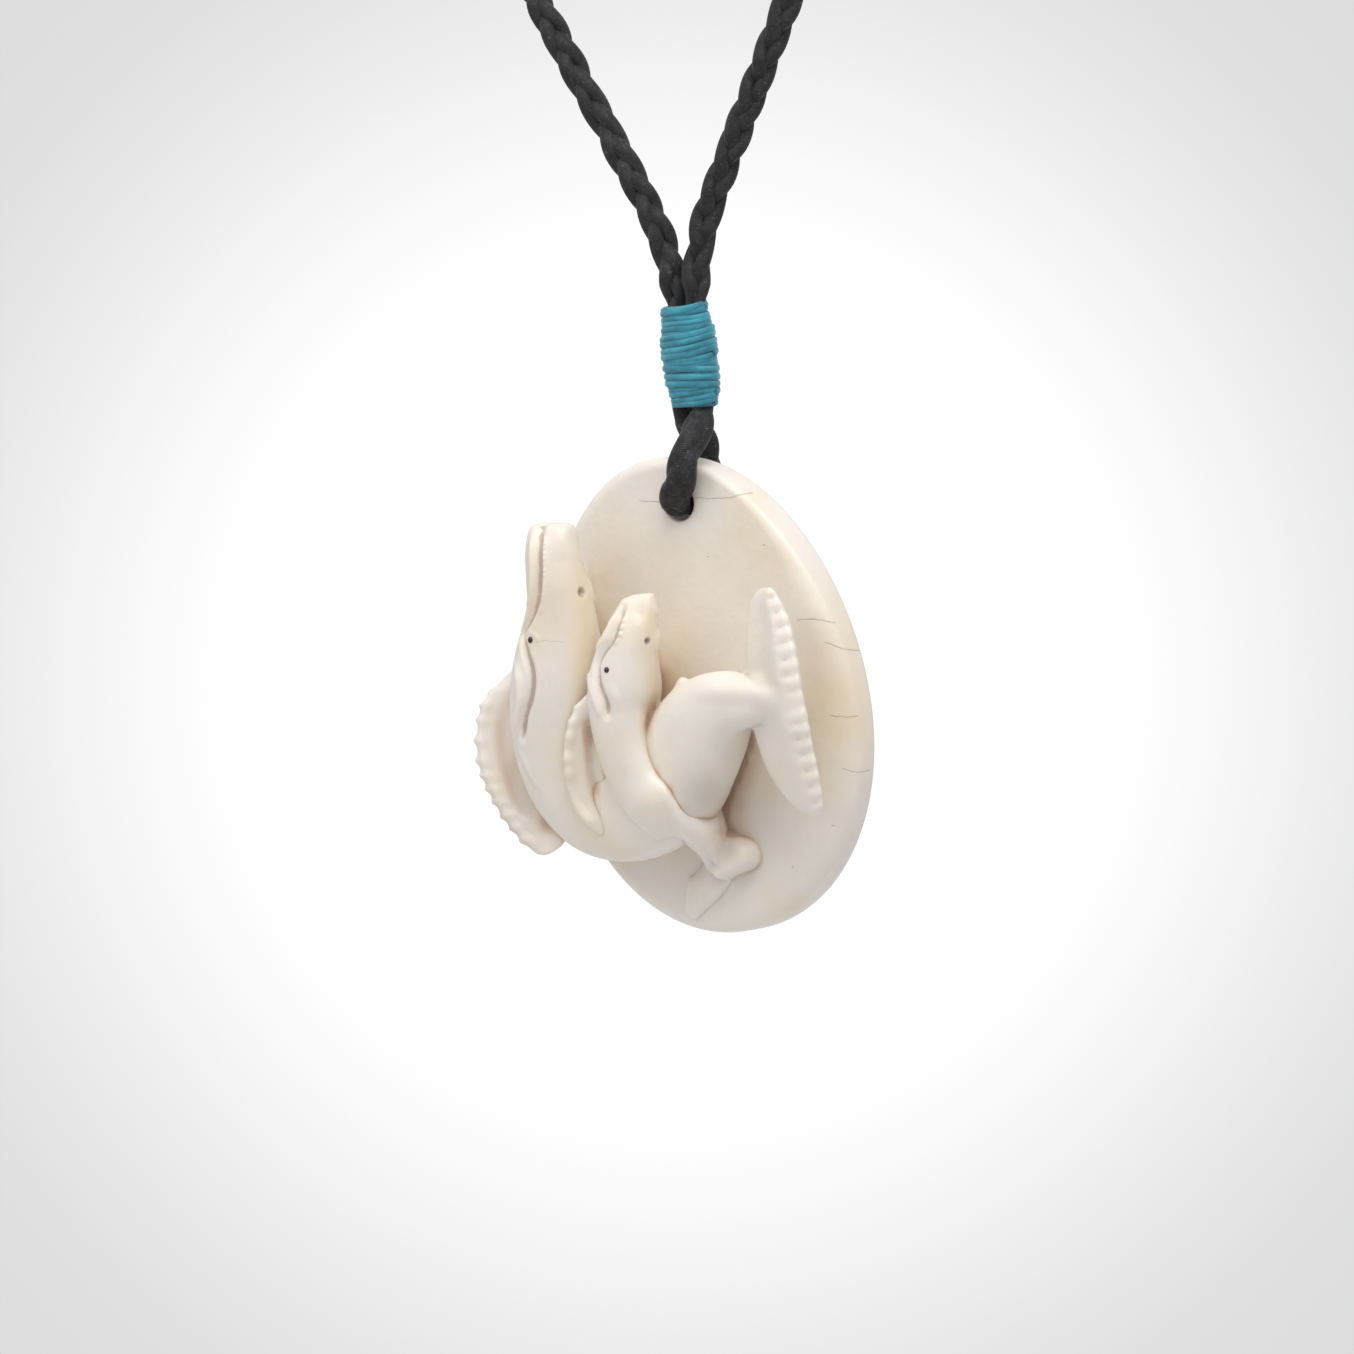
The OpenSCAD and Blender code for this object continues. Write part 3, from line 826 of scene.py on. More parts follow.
CALF_STROKES = (
    Stroke(((-6.8, 9.4), (-7.15, 8.4), (-7.6, 7.1), (-8.1, 5.6), (-9.1, 4.3), (-9.6, 3.2), (-9.6, 1.8),
            (-9.3, 0.6), (-8.8, -0.6), (-8.6, -1.6), (-8.6, -2.7)), 0.80, 0.56, fade_in=2.2),
    Stroke(((-7.6, 9.0), (-8.1, 7.6), (-8.7, 6.2), (-9.6, 4.8), (-10.2, 3.6), (-10.4, 2.2), (-10.2, 0.6),
            (-9.7, -0.8), (-9.2, -2.2)), 0.65, 0.2, Mark.RIDGE),
    Stroke(((-6.7, 8.6), (-6.95, 7.9), (-7.1, 7.2), (-7.2, 6.5), (-7.4, 5.8), (-8.0, 5.0), (-8.6, 4.3)),
           0.46, 0.30, Mark.RIDGE, beads=6),
    Stroke(((-8.2, 1.4), (-7.9, 0.4), (-7.5, -0.7), (-7.4, -1.8)), 0.7, 0.16, Mark.RIDGE),
    Stroke(((-3.9, 9.2), (-3.4, 7.4), (-3.6, 5.6), (-3.7, 4.1)), 0.8, 0.22, Mark.RIDGE),
    Stroke(((-5.2, 9.4), (-5.3, 8.2), (-5.5, 6.8)), 0.9, 0.22),
    Stroke(((-3.6, -7.6), (-3.2, -8.6), (-2.8, -9.6), (-2.5, -10.4)), 0.9, 0.24, Mark.RIDGE),
    Stroke(((-2.9, -8.7), (-2.3, -10.6), (-1.2, -12.6), (-0.3, -14.4), (0.5, -16.2)), 1.0, 0.25, Mark.RIDGE),
    Stroke(((1.0, -14.2), (1.2, -15.6), (1.9, -16.8), (2.8, -17.6)), 0.9, 0.24),
    Stroke(((-5.3, -12.9), (-3.3, -14.2), (-1.8, -15.1), (-0.3, -16.2), (0.2, -17.2), (-0.2, -18.7),
            (-0.5, -20.3), (-0.4, -21.6), (0.2, -22.1)), 0.55, 0.30, Mark.RIDGE),
    Stroke(((1.9, -18.2), (1.4, -19.2), (1.0, -20.2), (0.6, -21.2)), 1.1, 0.22),
    Stroke(((-11.5, -1.1), (-12.0, -2.8), (-12.5, -5.3), (-12.4, -7.0), (-12.3, -9.0), (-11.7, -10.8),
            (-10.7, -12.2), (-9.6, -13.2)), 0.85, 0.34, Mark.RIDGE),
    Stroke(((-10.5, -1.6), (-10.2, -4.4), (-10.0, -7.2), (-9.5, -9.9), (-8.8, -12.1)), 1.0, 0.5))


@dataclass(frozen=True)
class Pit:
    """A small drilled pit, such as a blowhole."""

    spot: tuple[float, float]
    radius: float
    depth: float


@dataclass(frozen=True)
class Patch:
    """A soft patch of colour in the ivory, placed where the photograph shows it.

    A share below 0 takes colour away.
    """

    right: float
    up: float
    wide: float
    tall: float
    share: float

    def strength(self, seen: Array) -> Array:
        """Return how strong the patch is at places given as right and up: a bell of both distances."""
        gap = ((seen[:, 0] - self.right) / self.wide) ** 2 + ((seen[:, 1] - self.up) / self.tall) ** 2
        return self.share * np.exp(-gap)


# Where the ivory is honey-coloured; on the plaque beside the two heads these patches are painted warm shade.
AMBER_AND_WARM_SHADE: dict[str, tuple[Patch, ...]] = {
    "carved_mother": (Patch(-10.9, 6.6, 1.5, 4.2, 0.75), Patch(-11.2, 1.4, 1.3, 2.4, 0.45),
                      Patch(-11.6, 11.6, 1.4, 2.4, 0.3)),
    "carved_calf": (Patch(-4.0, 3.0, 1.2, 4.6, 0.6), Patch(-4.2, 7.6, 1.0, 1.6, 0.35)),
    "carved_mother_flipper": (Patch(-15.0, -13.2, 1.0, 1.6, 0.3),),
    "carved_plaque": (Patch(15.5, 3.0, 3.4, 9.0, 0.55), Patch(-1.5, 3.6, 1.6, 4.5, 0.6),
                      Patch(6.0, 12.5, 4.0, 3.0, 0.2), Patch(-9.0, 12.0, 1.2, 5.0, 0.5)),
}

# Painted shadow along the crease where the calf lies on its mother.
CREASE_SHADE: tuple[Patch, ...] = (
    Patch(-4.5, -2.6, 0.5, 1.5, 0.22), Patch(-4.1, -5.2, 0.5, 1.4, 0.26), Patch(-3.4, -7.6, 0.6, 1.2, 0.24),
    Patch(-2.2, -9.3, 0.7, 0.9, 0.26), Patch(-0.9, -11.2, 0.8, 0.8, 0.30), Patch(0.9, -12.3, 1.0, 0.5, 0.34))

# Painted shade: more brown, or less where the share is negative, than the occlusion alone brings.
PAINTED_SHADE: dict[str, tuple[Patch, ...]] = {
    "carved_mother": (*CREASE_SHADE, Patch(-11.2, 2.6, 1.9, 3.6, -0.34), Patch(-10.4, 0.0, 1.3, 2.2, -0.2),
                      Patch(-9.4, 7.0, 0.9, 5.0, 0.16), Patch(2.4, -11.0, 4.4, 4.4, 0.3),
                      Patch(-8.0, -12.6, 5.0, 2.6, -0.22), Patch(-9.5, -9.4, 0.35, 1.1, 0.4),
                      Patch(-9.2, -11.4, 0.35, 1.1, 0.4), Patch(-8.7, -13.2, 0.35, 0.8, 0.35)),
    "carved_calf": (*CREASE_SHADE, Patch(-3.8, 0.2, 0.9, 1.4, -0.25), Patch(4.6, -13.8, 2.0, 0.5, 0.4),
                    Patch(3.0, -13.2, 1.2, 0.8, 0.25), Patch(-9.7, -9.6, 0.3, 1.1, 0.35),
                    Patch(-9.3, -11.4, 0.3, 1.0, 0.35), Patch(1.6, -20.4, 2.0, 1.6, -0.3)),
    "carved_mother_flipper": (Patch(-18.9, -3.4, 0.8, 2.8, 0.24), Patch(-17.9, -7.4, 0.85, 2.4, 0.26),
                              Patch(-16.3, -10.8, 0.9, 2.0, 0.28), Patch(-15.0, -13.2, 0.8, 1.1, 0.26)),
    "carved_plaque": (Patch(-4.0, -19.0, 6.0, 4.0, -0.4), Patch(5.7, -4.4, 0.35, 1.0, 0.5),
                      Patch(5.1, -6.0, 0.35, 1.1, 0.5), Patch(4.5, -7.6, 0.35, 1.1, 0.5),
                      Patch(3.8, -9.2, 0.35, 1.1, 0.5), Patch(3.2, -10.8, 0.35, 1.1, 0.5),
                      Patch(2.7, -12.2, 0.4, 0.9, 0.5), Patch(-10.2, 12.2, 0.7, 4.0, 0.2),
                      Patch(-8.0, 9.0, 3.4, 4.0, -0.14)),
}

# Painted shade: where the ivory is painted greyer and darker, as under the stock and low on the plaque.
GREYED_SHADE: dict[str, tuple[Patch, ...]] = {
    "carved_mother": (Patch(1.2, -9.8, 3.2, 3.0, 0.46), Patch(7.3, 4.0, 2.4, 6.5, 0.2),
                      Patch(-12.6, -1.0, 2.6, 5.0, 0.1), Patch(-13.3, 10.0, 1.4, 4.5, 0.16)),
    "carved_calf": (Patch(-11.6, -6.4, 1.4, 5.0, 0.2), Patch(-6.5, -4.5, 2.4, 4.0, 0.13),
                    Patch(3.4, -15.4, 2.4, 1.6, 0.2)),
    "carved_mother_flipper": (Patch(-17.6, -11.6, 3.2, 4.6, 0.36),),
    "carved_plaque": (Patch(4.0, -9.0, 1.6, 3.2, 0.36), Patch(7.5, -14.0, 6.0, 5.0, 0.16)),
}


@dataclass
class Whale:
    """One whale or a part of one, carved in the round where it stands off the plaque."""

    name: str
    forms: tuple[WhaleBody | Fin | Lobe, ...]
    strokes: tuple[Stroke, ...]
    pits: tuple[Pit, ...] = ()
    worn: tuple[tuple[float, float, float], ...] = ()
    voxel: float = 0.14
    even_rounds: int = 20
    small_ripple: float = 0.03
    worn_rounds: int = 160
    most_triangles: int = 190_000
    drilled: list[tuple[Array, float]] = field(default_factory=list)

    def rough_out(self) -> bpy.types.Mesh:
        """Fuse the forms into one closed skin.

        Returns:
            The mesh in carving space.
        """
        points, faces = joined([form.surface() for form in self.forms])
        rough = make_mesh("rough", points, faces)
        return modified(rough, "REMESH", mode="VOXEL", voxel_size=self.voxel, use_smooth_shade=True)

    def carve(self, clay: Clay) -> None:
        """Smooth the marks of the roughing out, rub the worn places, cut the grooves, ridges and pits.

        A ripple is the part of a point's dip under the relaxed surface that its neighbours don't share. It
        is taken out where it is small, and left where it belongs to an edge.

        Args:
            clay: The mesh being worked.
        """
        clay.points = clay.relaxed(4)
        clay.put_back()
        dip = clay.hollowness(self.even_rounds)
        ripple = dip - clay.evened(dip[:, None], self.even_rounds)[:, 0]
        ripple *= np.clip(2 - np.abs(ripple) / self.small_ripple, 0, 1)
        clay.points += clay.normals() * ripple[:, None]
        for right, up, radius in self.worn:
            gap = np.linalg.norm(SIGHT.seen(clay.points) - [right, up], axis=1)
            share = np.clip(1.4 - gap / radius, 0, 1)[:, None]
            clay.points = clay.points + share * (clay.relaxed(self.worn_rounds) - clay.points)
        clay.put_back()
        normals = clay.normals()
        tree = surface_tree(clay.mesh)
        for stroke in self.strokes:
            stroke.carve(clay, normals, stroke.path(tree))
        for pit in self.pits:
            hit, _ = SIGHT.on_surface(tree, np.array([pit.spot]))
            gap = np.linalg.norm(clay.points - hit[0], axis=1)
            clay.points -= normals * (pit.depth * np.exp(-(gap / pit.radius) ** 4))[:, None]
            self.drilled.append((hit[0], pit.radius))
        clay.points = clay.relaxed(1, 0.4)
        clay.put_back()

    def carved(self) -> bpy.types.Mesh:
        """Rough out and carve the whale, and thin it to the most triangles allowed.

        Returns:
            The mesh in carving space.
        """
        clay = Clay(self.rough_out())
        self.carve(clay)
        count = sum(len(p.vertices) - 2 for p in clay.mesh.polygons)
        LOG.info("%s: %d triangles before thinning", self.name, count)
        ratio = min(1.0, self.most_triangles / count)
        return modified(clay.mesh, "DECIMATE", ratio=ratio) if ratio < 1 else clay.mesh


def finish_ivory(mesh: bpy.types.Mesh, name: str, drilled: list[tuple[Array, float]], occlusion_shade: Shelter,
                 material: bpy.types.Material) -> None:
    """Note where shade is painted and where the colour changes on a part of the carving, and put it in place.

    Args:
        mesh: The part in carving space.
        name: Its name.
        drilled: Centres and radii of its pits.
        occlusion_shade: The whole carving, for what it hides.
        material: The ivory.
    """
    soft_rounds, recess_rounds, full_recess, halo = 6, 24, 0.14, 1.3
    clay = Clay(mesh)
    slab = name == "carved_plaque"
    # Painted shade: how closed in each point is, smoothed, with the painted-shade patches added.
    hidden = clay.evened(occlusion_shade.measure(clay.points, clay.normals())[:, None], soft_rounds)[:, 0]
    seen = SIGHT.seen(clay.points)
    clay.paint("occlusion_shade", np.clip(hidden + sum(patch.strength(seen) for patch in PAINTED_SHADE[name]), 0, 1))
    recess = np.zeros(len(hidden)) if slab else np.clip(clay.hollowness(recess_rounds) / full_recess, 0, 1)
    clay.paint("fine_recess", recess)
    clay.paint("slab", np.full(len(hidden), float(slab)))
    clay.paint("amber_and_warm_shade", sum(patch.strength(seen) for patch in AMBER_AND_WARM_SHADE[name]))
    clay.paint("greyed_shade", sum(patch.strength(seen) for patch in GREYED_SHADE[name]))
    # Painted shade: dark round the drilled pits and inside the cord's hole.
    dark = np.zeros(len(hidden))
    for centre, radius in drilled:
        gap = np.linalg.norm(clay.points - centre, axis=1)
        dark = np.maximum(dark, np.exp(-((gap / (halo * radius)) ** 2)))
    clay.paint("pit_shade", dark)
    clay.points = (clay.points + PLAQUE_CENTRE) * MM
    clay.put_back()
    mesh.name = name
    mesh.shade_smooth()
    add_piece(mesh, material, PENDANT_BODY, ["carved_pendant"])


MOTHER_WHALE = Whale("carved_mother", (MOTHER, MOTHER_FLUKES, MOTHER_BACK_FIN), MOTHER_STROKES,
                     (Pit((-11.05, 10.35), 0.42, 0.6),), ((8.2, -1.2, 2.0), (6.6, 1.6, 0.9)), voxel=0.17)
FLIPPER_PART = Whale("carved_mother_flipper", (MOTHER_FLIPPER,), FLIPPER_STROKES, voxel=0.11)
CALF_WHALE = Whale("carved_calf", (CALF, CALF_FLIPPER, *CALF_LOBES), CALF_STROKES,
                   (Pit((-4.5, 5.45), 0.32, 0.34),), ((1.4, -15.8, 1.6), (0.1, -17.2, 1.5)), voxel=0.128)


@dataclass
class Recipe:
    """One material's nodes, added one after another; lengths are in millimetres."""

    name: str
    material: bpy.types.Material = field(init=False)
    shader: bpy.types.Node = field(init=False)

    def __post_init__(self) -> None:
        """Start the material with a shader and its output."""
        self.material = bpy.data.materials.new(self.name)
        self.material.use_nodes = True
        self.material.node_tree.nodes.clear()
        self.shader = self.add("ShaderNodeBsdfPrincipled")
        output = self.add("ShaderNodeOutputMaterial")
        self.join(output.inputs["Surface"], self.shader.outputs["BSDF"])

    def join(self, target: bpy.types.NodeSocket, value: object) -> None:
        """Link a socket to a target, or set the target to a value.

        Args:
            target: The input.
            value: A socket, a number, a vector or a colour.
        """
        if isinstance(value, bpy.types.NodeSocket):
            self.material.node_tree.links.new(value, target)
        elif isinstance(value, tuple) and target.type == "RGBA" and len(value) == 3:
            target.default_value = (*value, 1.0)
        else:
            target.default_value = value

    def add(self, kind: str, settings: dict[str, object] | None = None, **inputs: object) -> bpy.types.Node:
        """Add a node.

        Args:
            kind: The node's type.
            settings: Its own settings.
            inputs: Values or sockets for its inputs, spaces in their names written as underscores.

        Returns:
            The node.
        """
        node = self.material.node_tree.nodes.new(kind)
        for name, value in (settings or {}).items():
            setattr(node, name, value)
        for name, value in inputs.items():
            self.join(node.inputs[name.replace("_", " ")], value)
        return node

    def place(self) -> bpy.types.NodeSocket:
        """Return the place on the piece in millimetres."""
        source = self.add("ShaderNodeTexCoord").outputs["Object"]
        return self.scaled(source, (1 / MM, 1 / MM, 1 / MM))

    def scaled(self, vector: bpy.types.NodeSocket, by: tuple[float, float, float]) -> bpy.types.NodeSocket:
        """Multiply a vector by another.

        Args:
            vector: The vector.
            by: What multiplies it.

        Returns:
            The product.
        """
        node = self.add("ShaderNodeVectorMath", {"operation": "MULTIPLY"})
        self.join(node.inputs[0], vector)
        self.join(node.inputs[1], by)
        return node.outputs[0]

    def noise(self, where: object, size: float, detail: float = 2.0,
              rough: float = 0.5) -> bpy.types.NodeSocket:
        """Make noise.

        Args:
            where: The place.
            size: The size of a grain in millimetres.
            detail: How many finer layers it has.
            rough: How strong they are.

        Returns:
            The noise, from 0 to 1.
        """
        node = self.add("ShaderNodeTexNoise", Vector=where, Scale=1.0 / size, Detail=detail, Roughness=rough)
        return node.outputs["Fac"]

    def maths(self, operation: str, first: object, second: object = 0.0) -> bpy.types.NodeSocket:
        """Do a sum on numbers.

        Args:
            operation: The kind of sum.
            first: A number or a socket.
            second: Another.

        Returns:
            The result.
        """
        node = self.add("ShaderNodeMath", {"operation": operation})
        self.join(node.inputs[0], first)
        self.join(node.inputs[1], second)
        return node.outputs[0]

    def fade(self, value: object, low: float, high: float, start: float = 0.0,
             end: float = 1.0) -> bpy.types.NodeSocket:
        """Make a smooth step.

        Args:
            value: What it depends on.
            low: The value where it starts.
            high: The value where it ends.
            start: What it gives up to there.
            end: What it gives from there on.

        Returns:
            The step's result.
        """
        node = self.add("ShaderNodeMapRange", {"interpolation_type": "SMOOTHSTEP"}, Value=value, From_Min=low,
                        From_Max=high, To_Min=start, To_Max=end)
        return node.outputs["Result"]

    def blend(self, share: object, first: object, second: object) -> bpy.types.NodeSocket:
        """Let one colour pass into another.

        Args:
            share: How far it has passed, from 0 to 1.
            first: The colour at 0.
            second: The colour at 1.

        Returns:
            The colour.
        """
        node = self.add("ShaderNodeMix", {"data_type": "RGBA"})
        self.join(node.inputs[0], share)
        self.join(node.inputs[6], first)
        self.join(node.inputs[7], second)
        return node.outputs[2]

    def kept(self, name: str) -> bpy.types.NodeSocket:
        """Return a number that the mesh keeps for each point."""
        return self.add("ShaderNodeAttribute", {"attribute_name": name}).outputs["Fac"]

    def relief(self, *layers: tuple[object, float]) -> None:
        """Raise the shading normal by layers of height.

        Args:
            layers: Each layer's height from 0 to 1, and its depth in millimetres.
        """
        normal: object = None
        for height, depth in layers:
            bump = self.add("ShaderNodeBump", Height=height, Distance=depth * MM, Strength=1.0)
            if normal is not None:
                self.join(bump.inputs["Normal"], normal)
            normal = bump.outputs["Normal"]
        self.join(self.shader.inputs["Normal"], normal)

    def set(self, **values: object) -> None:
        """Set or link the shader's own inputs."""
        for name, value in values.items():
            self.join(self.shader.inputs[name.replace("_", " ")], value)


@dataclass(frozen=True)
class IvoryFinish:
    """Hand-polished mammoth ivory: cream, honey in patches, and painted shade in its hollows and grooves."""

    pale: tuple[float, float, float] = (0.83, 0.775, 0.68)
    honey: tuple[float, float, float] = (0.80, 0.68, 0.46)
    # warm and brown are painted shade; brown also colours the grooves' grime.
    warm: tuple[float, float, float] = (0.66, 0.475, 0.33)
    brown: tuple[float, float, float] = (0.42, 0.28, 0.19)
    dark: tuple[float, float, float] = (0.085, 0.048, 0.03)
    # grey is painted shade.
    grey: tuple[float, float, float] = (0.42, 0.375, 0.32)
    slab_cracks: tuple[tuple[tuple[float, float], ...], ...] = (
        ((-5.3, 19.6), (-4.2, 19.4), (-3.1, 19.5)),
        ((0.2, 19.8), (3.1, 19.7), (6.0, 20.2)),
        ((10.3, 7.5), (12.2, 7.6), (14.1, 7.3)),
        ((13.1, 5.3), (14.8, 4.7), (16.4, 4.5)),
        ((13.7, -1.9), (15.1, -2.1), (16.3, -2.0)),
        ((14.7, -7.2), (16.2, -7.5), (17.6, -7.3)))
    slab_specks: tuple[tuple[float, float], ...] = (
        (7.0, 14.9), (1.4, 13.9), (13.9, -12.9), (9.9, -17.0), (5.7, 20.2))
    whale_cracks: tuple[tuple[tuple[float, float], ...], ...] = (
        ((-15.7, 5.4), (-14.0, 5.35), (-12.8, 5.35)),)

    def hairline(self) -> bpy.types.NodeTree:
        """Make the node group that draws one straight hairline.

        The distance from a place to the line is that to the nearest point between its ends.

        Returns:
            The group, which gives 1 on the line and 0 beside it.
        """
        group = bpy.data.node_groups.new("hairline", "ShaderNodeTree")
        for name, kind in (("Place", "NodeSocketVector"), ("From", "NodeSocketVector"),
                           ("Along", "NodeSocketVector"), ("Width", "NodeSocketFloat")):
            group.interface.new_socket(name, in_out="INPUT", socket_type=kind)
        group.interface.new_socket("Share", in_out="OUTPUT", socket_type="NodeSocketFloat")
        nodes, links = group.nodes, group.links
        given, result = nodes.new("NodeGroupInput"), nodes.new("NodeGroupOutput")

        def step(kind: str, *inputs: bpy.types.NodeSocket) -> bpy.types.Node:
            """Add a vector sum with its inputs linked.

            Args:
                kind: The kind of sum.
                inputs: What goes into it.

            Returns:
                The node.
            """
            node = nodes.new("ShaderNodeVectorMath")
            node.operation = kind
            for socket, source in zip(node.inputs, inputs):
                links.new(source, socket)
            return node

        away = step("SUBTRACT", given.outputs["Place"], given.outputs["From"])
        across = step("DOT_PRODUCT", away.outputs[0], given.outputs["Along"])
        whole = step("DOT_PRODUCT", given.outputs["Along"], given.outputs["Along"])
        share = nodes.new("ShaderNodeMath")
        share.operation, share.use_clamp = "DIVIDE", True
        links.new(across.outputs["Value"], share.inputs[0])
        links.new(whole.outputs["Value"], share.inputs[1])
        foot = step("SCALE", given.outputs["Along"])
        links.new(share.outputs[0], foot.inputs["Scale"])
        gap = step("DISTANCE", away.outputs[0], foot.outputs[0])
        fall = nodes.new("ShaderNodeMapRange")
        fall.interpolation_type = "SMOOTHSTEP"
        links.new(gap.outputs["Value"], fall.inputs["Value"])
        links.new(given.outputs["Width"], fall.inputs["From Max"])
        fall.inputs["To Min"].default_value, fall.inputs["To Max"].default_value = 1.0, 0.0
        links.new(fall.outputs["Result"], result.inputs["Share"])
        return group

    def flaws(self, recipe: Recipe, where: bpy.types.NodeSocket) -> bpy.types.NodeSocket:
        """Draw the hairline cracks and pits of the old ivory where the photograph shows them.

        Args:
            recipe: The material.
            where: The place on the piece in millimetres.

        Returns:
            How much of a flaw each place has.
        """
        group = self.hairline()
        axes = SIGHT.axes()
        seen = recipe.add("ShaderNodeCombineXYZ")
        for socket, axis in zip(seen.inputs, axes[:2]):
            shadow = recipe.add("ShaderNodeVectorMath", {"operation": "DOT_PRODUCT"})
            recipe.join(shadow.inputs[0], where)
            recipe.join(shadow.inputs[1], tuple(axis))
            moved = recipe.maths("SUBTRACT", shadow.outputs["Value"], float(PLAQUE_CENTRE @ axis))
            recipe.join(socket, moved)
        wander = recipe.add("ShaderNodeTexNoise", Vector=seen.outputs[0], Scale=0.9, Detail=3.0)
        offset = recipe.add("ShaderNodeVectorMath", {"operation": "MULTIPLY_ADD"})
        recipe.join(offset.inputs[0], wander.outputs["Color"])
        recipe.join(offset.inputs[1], (0.6, 0.6, 0.0))
        recipe.join(offset.inputs[2], seen.outputs[0])

        def drawn(lines: list[tuple[Array, float]]) -> bpy.types.NodeSocket:
            """Draw hairlines.

            Args:
                lines: Each line's two ends, and its width.

            Returns:
                1 on any of them, 0 elsewhere.
            """
            total: object = 0.0
            for ends, width in lines:
                node = recipe.add("ShaderNodeGroup")
                node.node_tree = group
                recipe.join(node.inputs["Place"], offset.outputs[0])
                recipe.join(node.inputs["From"], (ends[0][0] + 0.3, ends[0][1] + 0.3, 0.0))
                recipe.join(node.inputs["Along"], (ends[1][0] - ends[0][0], ends[1][1] - ends[0][1], 0.0))
                recipe.join(node.inputs["Width"], width)
                total = recipe.maths("MAXIMUM", total, node.outputs["Share"])
            return total

        slab = [(np.array(c[i:i + 2]), 0.075) for c in self.slab_cracks for i in range(len(c) - 1)]
        slab += [(np.array([s, (s[0] + 0.08, s[1])]), 0.17) for s in self.slab_specks]
        whale = [(np.array(c[i:i + 2]), 0.08) for c in self.whale_cracks for i in range(len(c) - 1)]
        on_slab = recipe.kept("slab")
        first = recipe.maths("MULTIPLY", drawn(slab), on_slab)
        other = recipe.maths("MULTIPLY", drawn(whale), recipe.maths("SUBTRACT", 0.45, on_slab))
        return recipe.maths("MAXIMUM", first, other)

    def material(self) -> bpy.types.Material:
        """Mix the finish.

        Returns:
            The material.
        """
        recipe = Recipe("polished_ivory")
        where = recipe.place()
        drift = recipe.noise(where, 9.0, 3.0, 0.55)
        colour = recipe.blend(recipe.fade(drift, 0.44, 0.76, 0.0, 0.5), self.pale, self.honey)
        grain = recipe.noise(recipe.scaled(where, (1.0, 1.0, 0.16)), 0.5, 3.0, 0.6)
        colour = recipe.blend(recipe.fade(grain, 0.5, 0.85, 0.0, 0.22), colour, self.honey)
        # Honey where the ivory has it, and painted warm shade on the plaque beside the heads.
        amber_and_warm_shade = recipe.maths("MULTIPLY", recipe.kept("amber_and_warm_shade"), recipe.fade(drift, 0.25, 0.6, 0.55, 1.0))
        colour = recipe.blend(amber_and_warm_shade, colour, self.honey)
        # Painted shade: greyer where the patches put it.
        colour = recipe.blend(recipe.kept("greyed_shade"), colour, self.grey)
        # Painted shade: the more the carving closes in round a place, the warmer and browner it is painted,
        # in blotches.
        occlusion_shade = recipe.kept("occlusion_shade")
        blotch = recipe.fade(recipe.noise(where, 2.4, 2.0, 0.5), 0.35, 0.65, 0.4, 0.85)
        near = recipe.maths("MULTIPLY", recipe.fade(occlusion_shade, 0.2, 0.6), blotch)
        colour = recipe.blend(near, colour, self.warm)
        colour = recipe.blend(recipe.fade(occlusion_shade, 0.5, 0.8, 0.0, 0.75), colour, self.brown)
        # Painted shade, and grime: the fine grooves and hollows are browner, in blotches.
        groove_shade_and_grime = recipe.maths("MULTIPLY", recipe.kept("fine_recess"), recipe.noise(where, 1.3, 3.0, 0.6))
        colour = recipe.blend(recipe.fade(groove_shade_and_grime, 0.08, 0.45, 0.0, 0.6), colour, self.brown)
        # Painted shade round the pits and in the hole.
        colour = recipe.blend(recipe.fade(recipe.kept("pit_shade"), 0.2, 0.85, 0.0, 0.95), colour, self.dark)
        flaw = self.flaws(recipe, where)
        colour = recipe.blend(recipe.maths("MULTIPLY", flaw, 0.27), colour, self.dark)
        recipe.set(Base_Color=colour, Roughness=0.35, IOR=1.54,
                   Subsurface_Weight=0.3, Subsurface_Radius=(1.0, 0.6, 0.35), Subsurface_Scale=1.2 * MM)
        waves, scratches = recipe.noise(where, 2.2, 2.0, 0.5), recipe.noise(where, 0.5, 3.0, 0.55)
        recipe.relief((waves, 0.10), (scratches, 0.014), (recipe.maths("MULTIPLY", flaw, -1.0), 0.06))
        return recipe.material


@dataclass(frozen=True)
class InlayFinish:
    """A dark polished inlay."""

    dark: tuple[float, float, float] = (0.022, 0.014, 0.010)

    def material(self) -> bpy.types.Material:
        """Mix the finish.

        Returns:
            The material.
        """
        recipe = Recipe("dark_inlay")
        where = recipe.place()
        colour = recipe.blend(recipe.noise(where, 0.3, 2.0), self.dark, (0.06, 0.035, 0.02))
        recipe.set(Base_Color=colour, Roughness=0.12, IOR=1.6)
        recipe.relief((recipe.noise(where, 0.15, 2.0), 0.004))
        return recipe.material


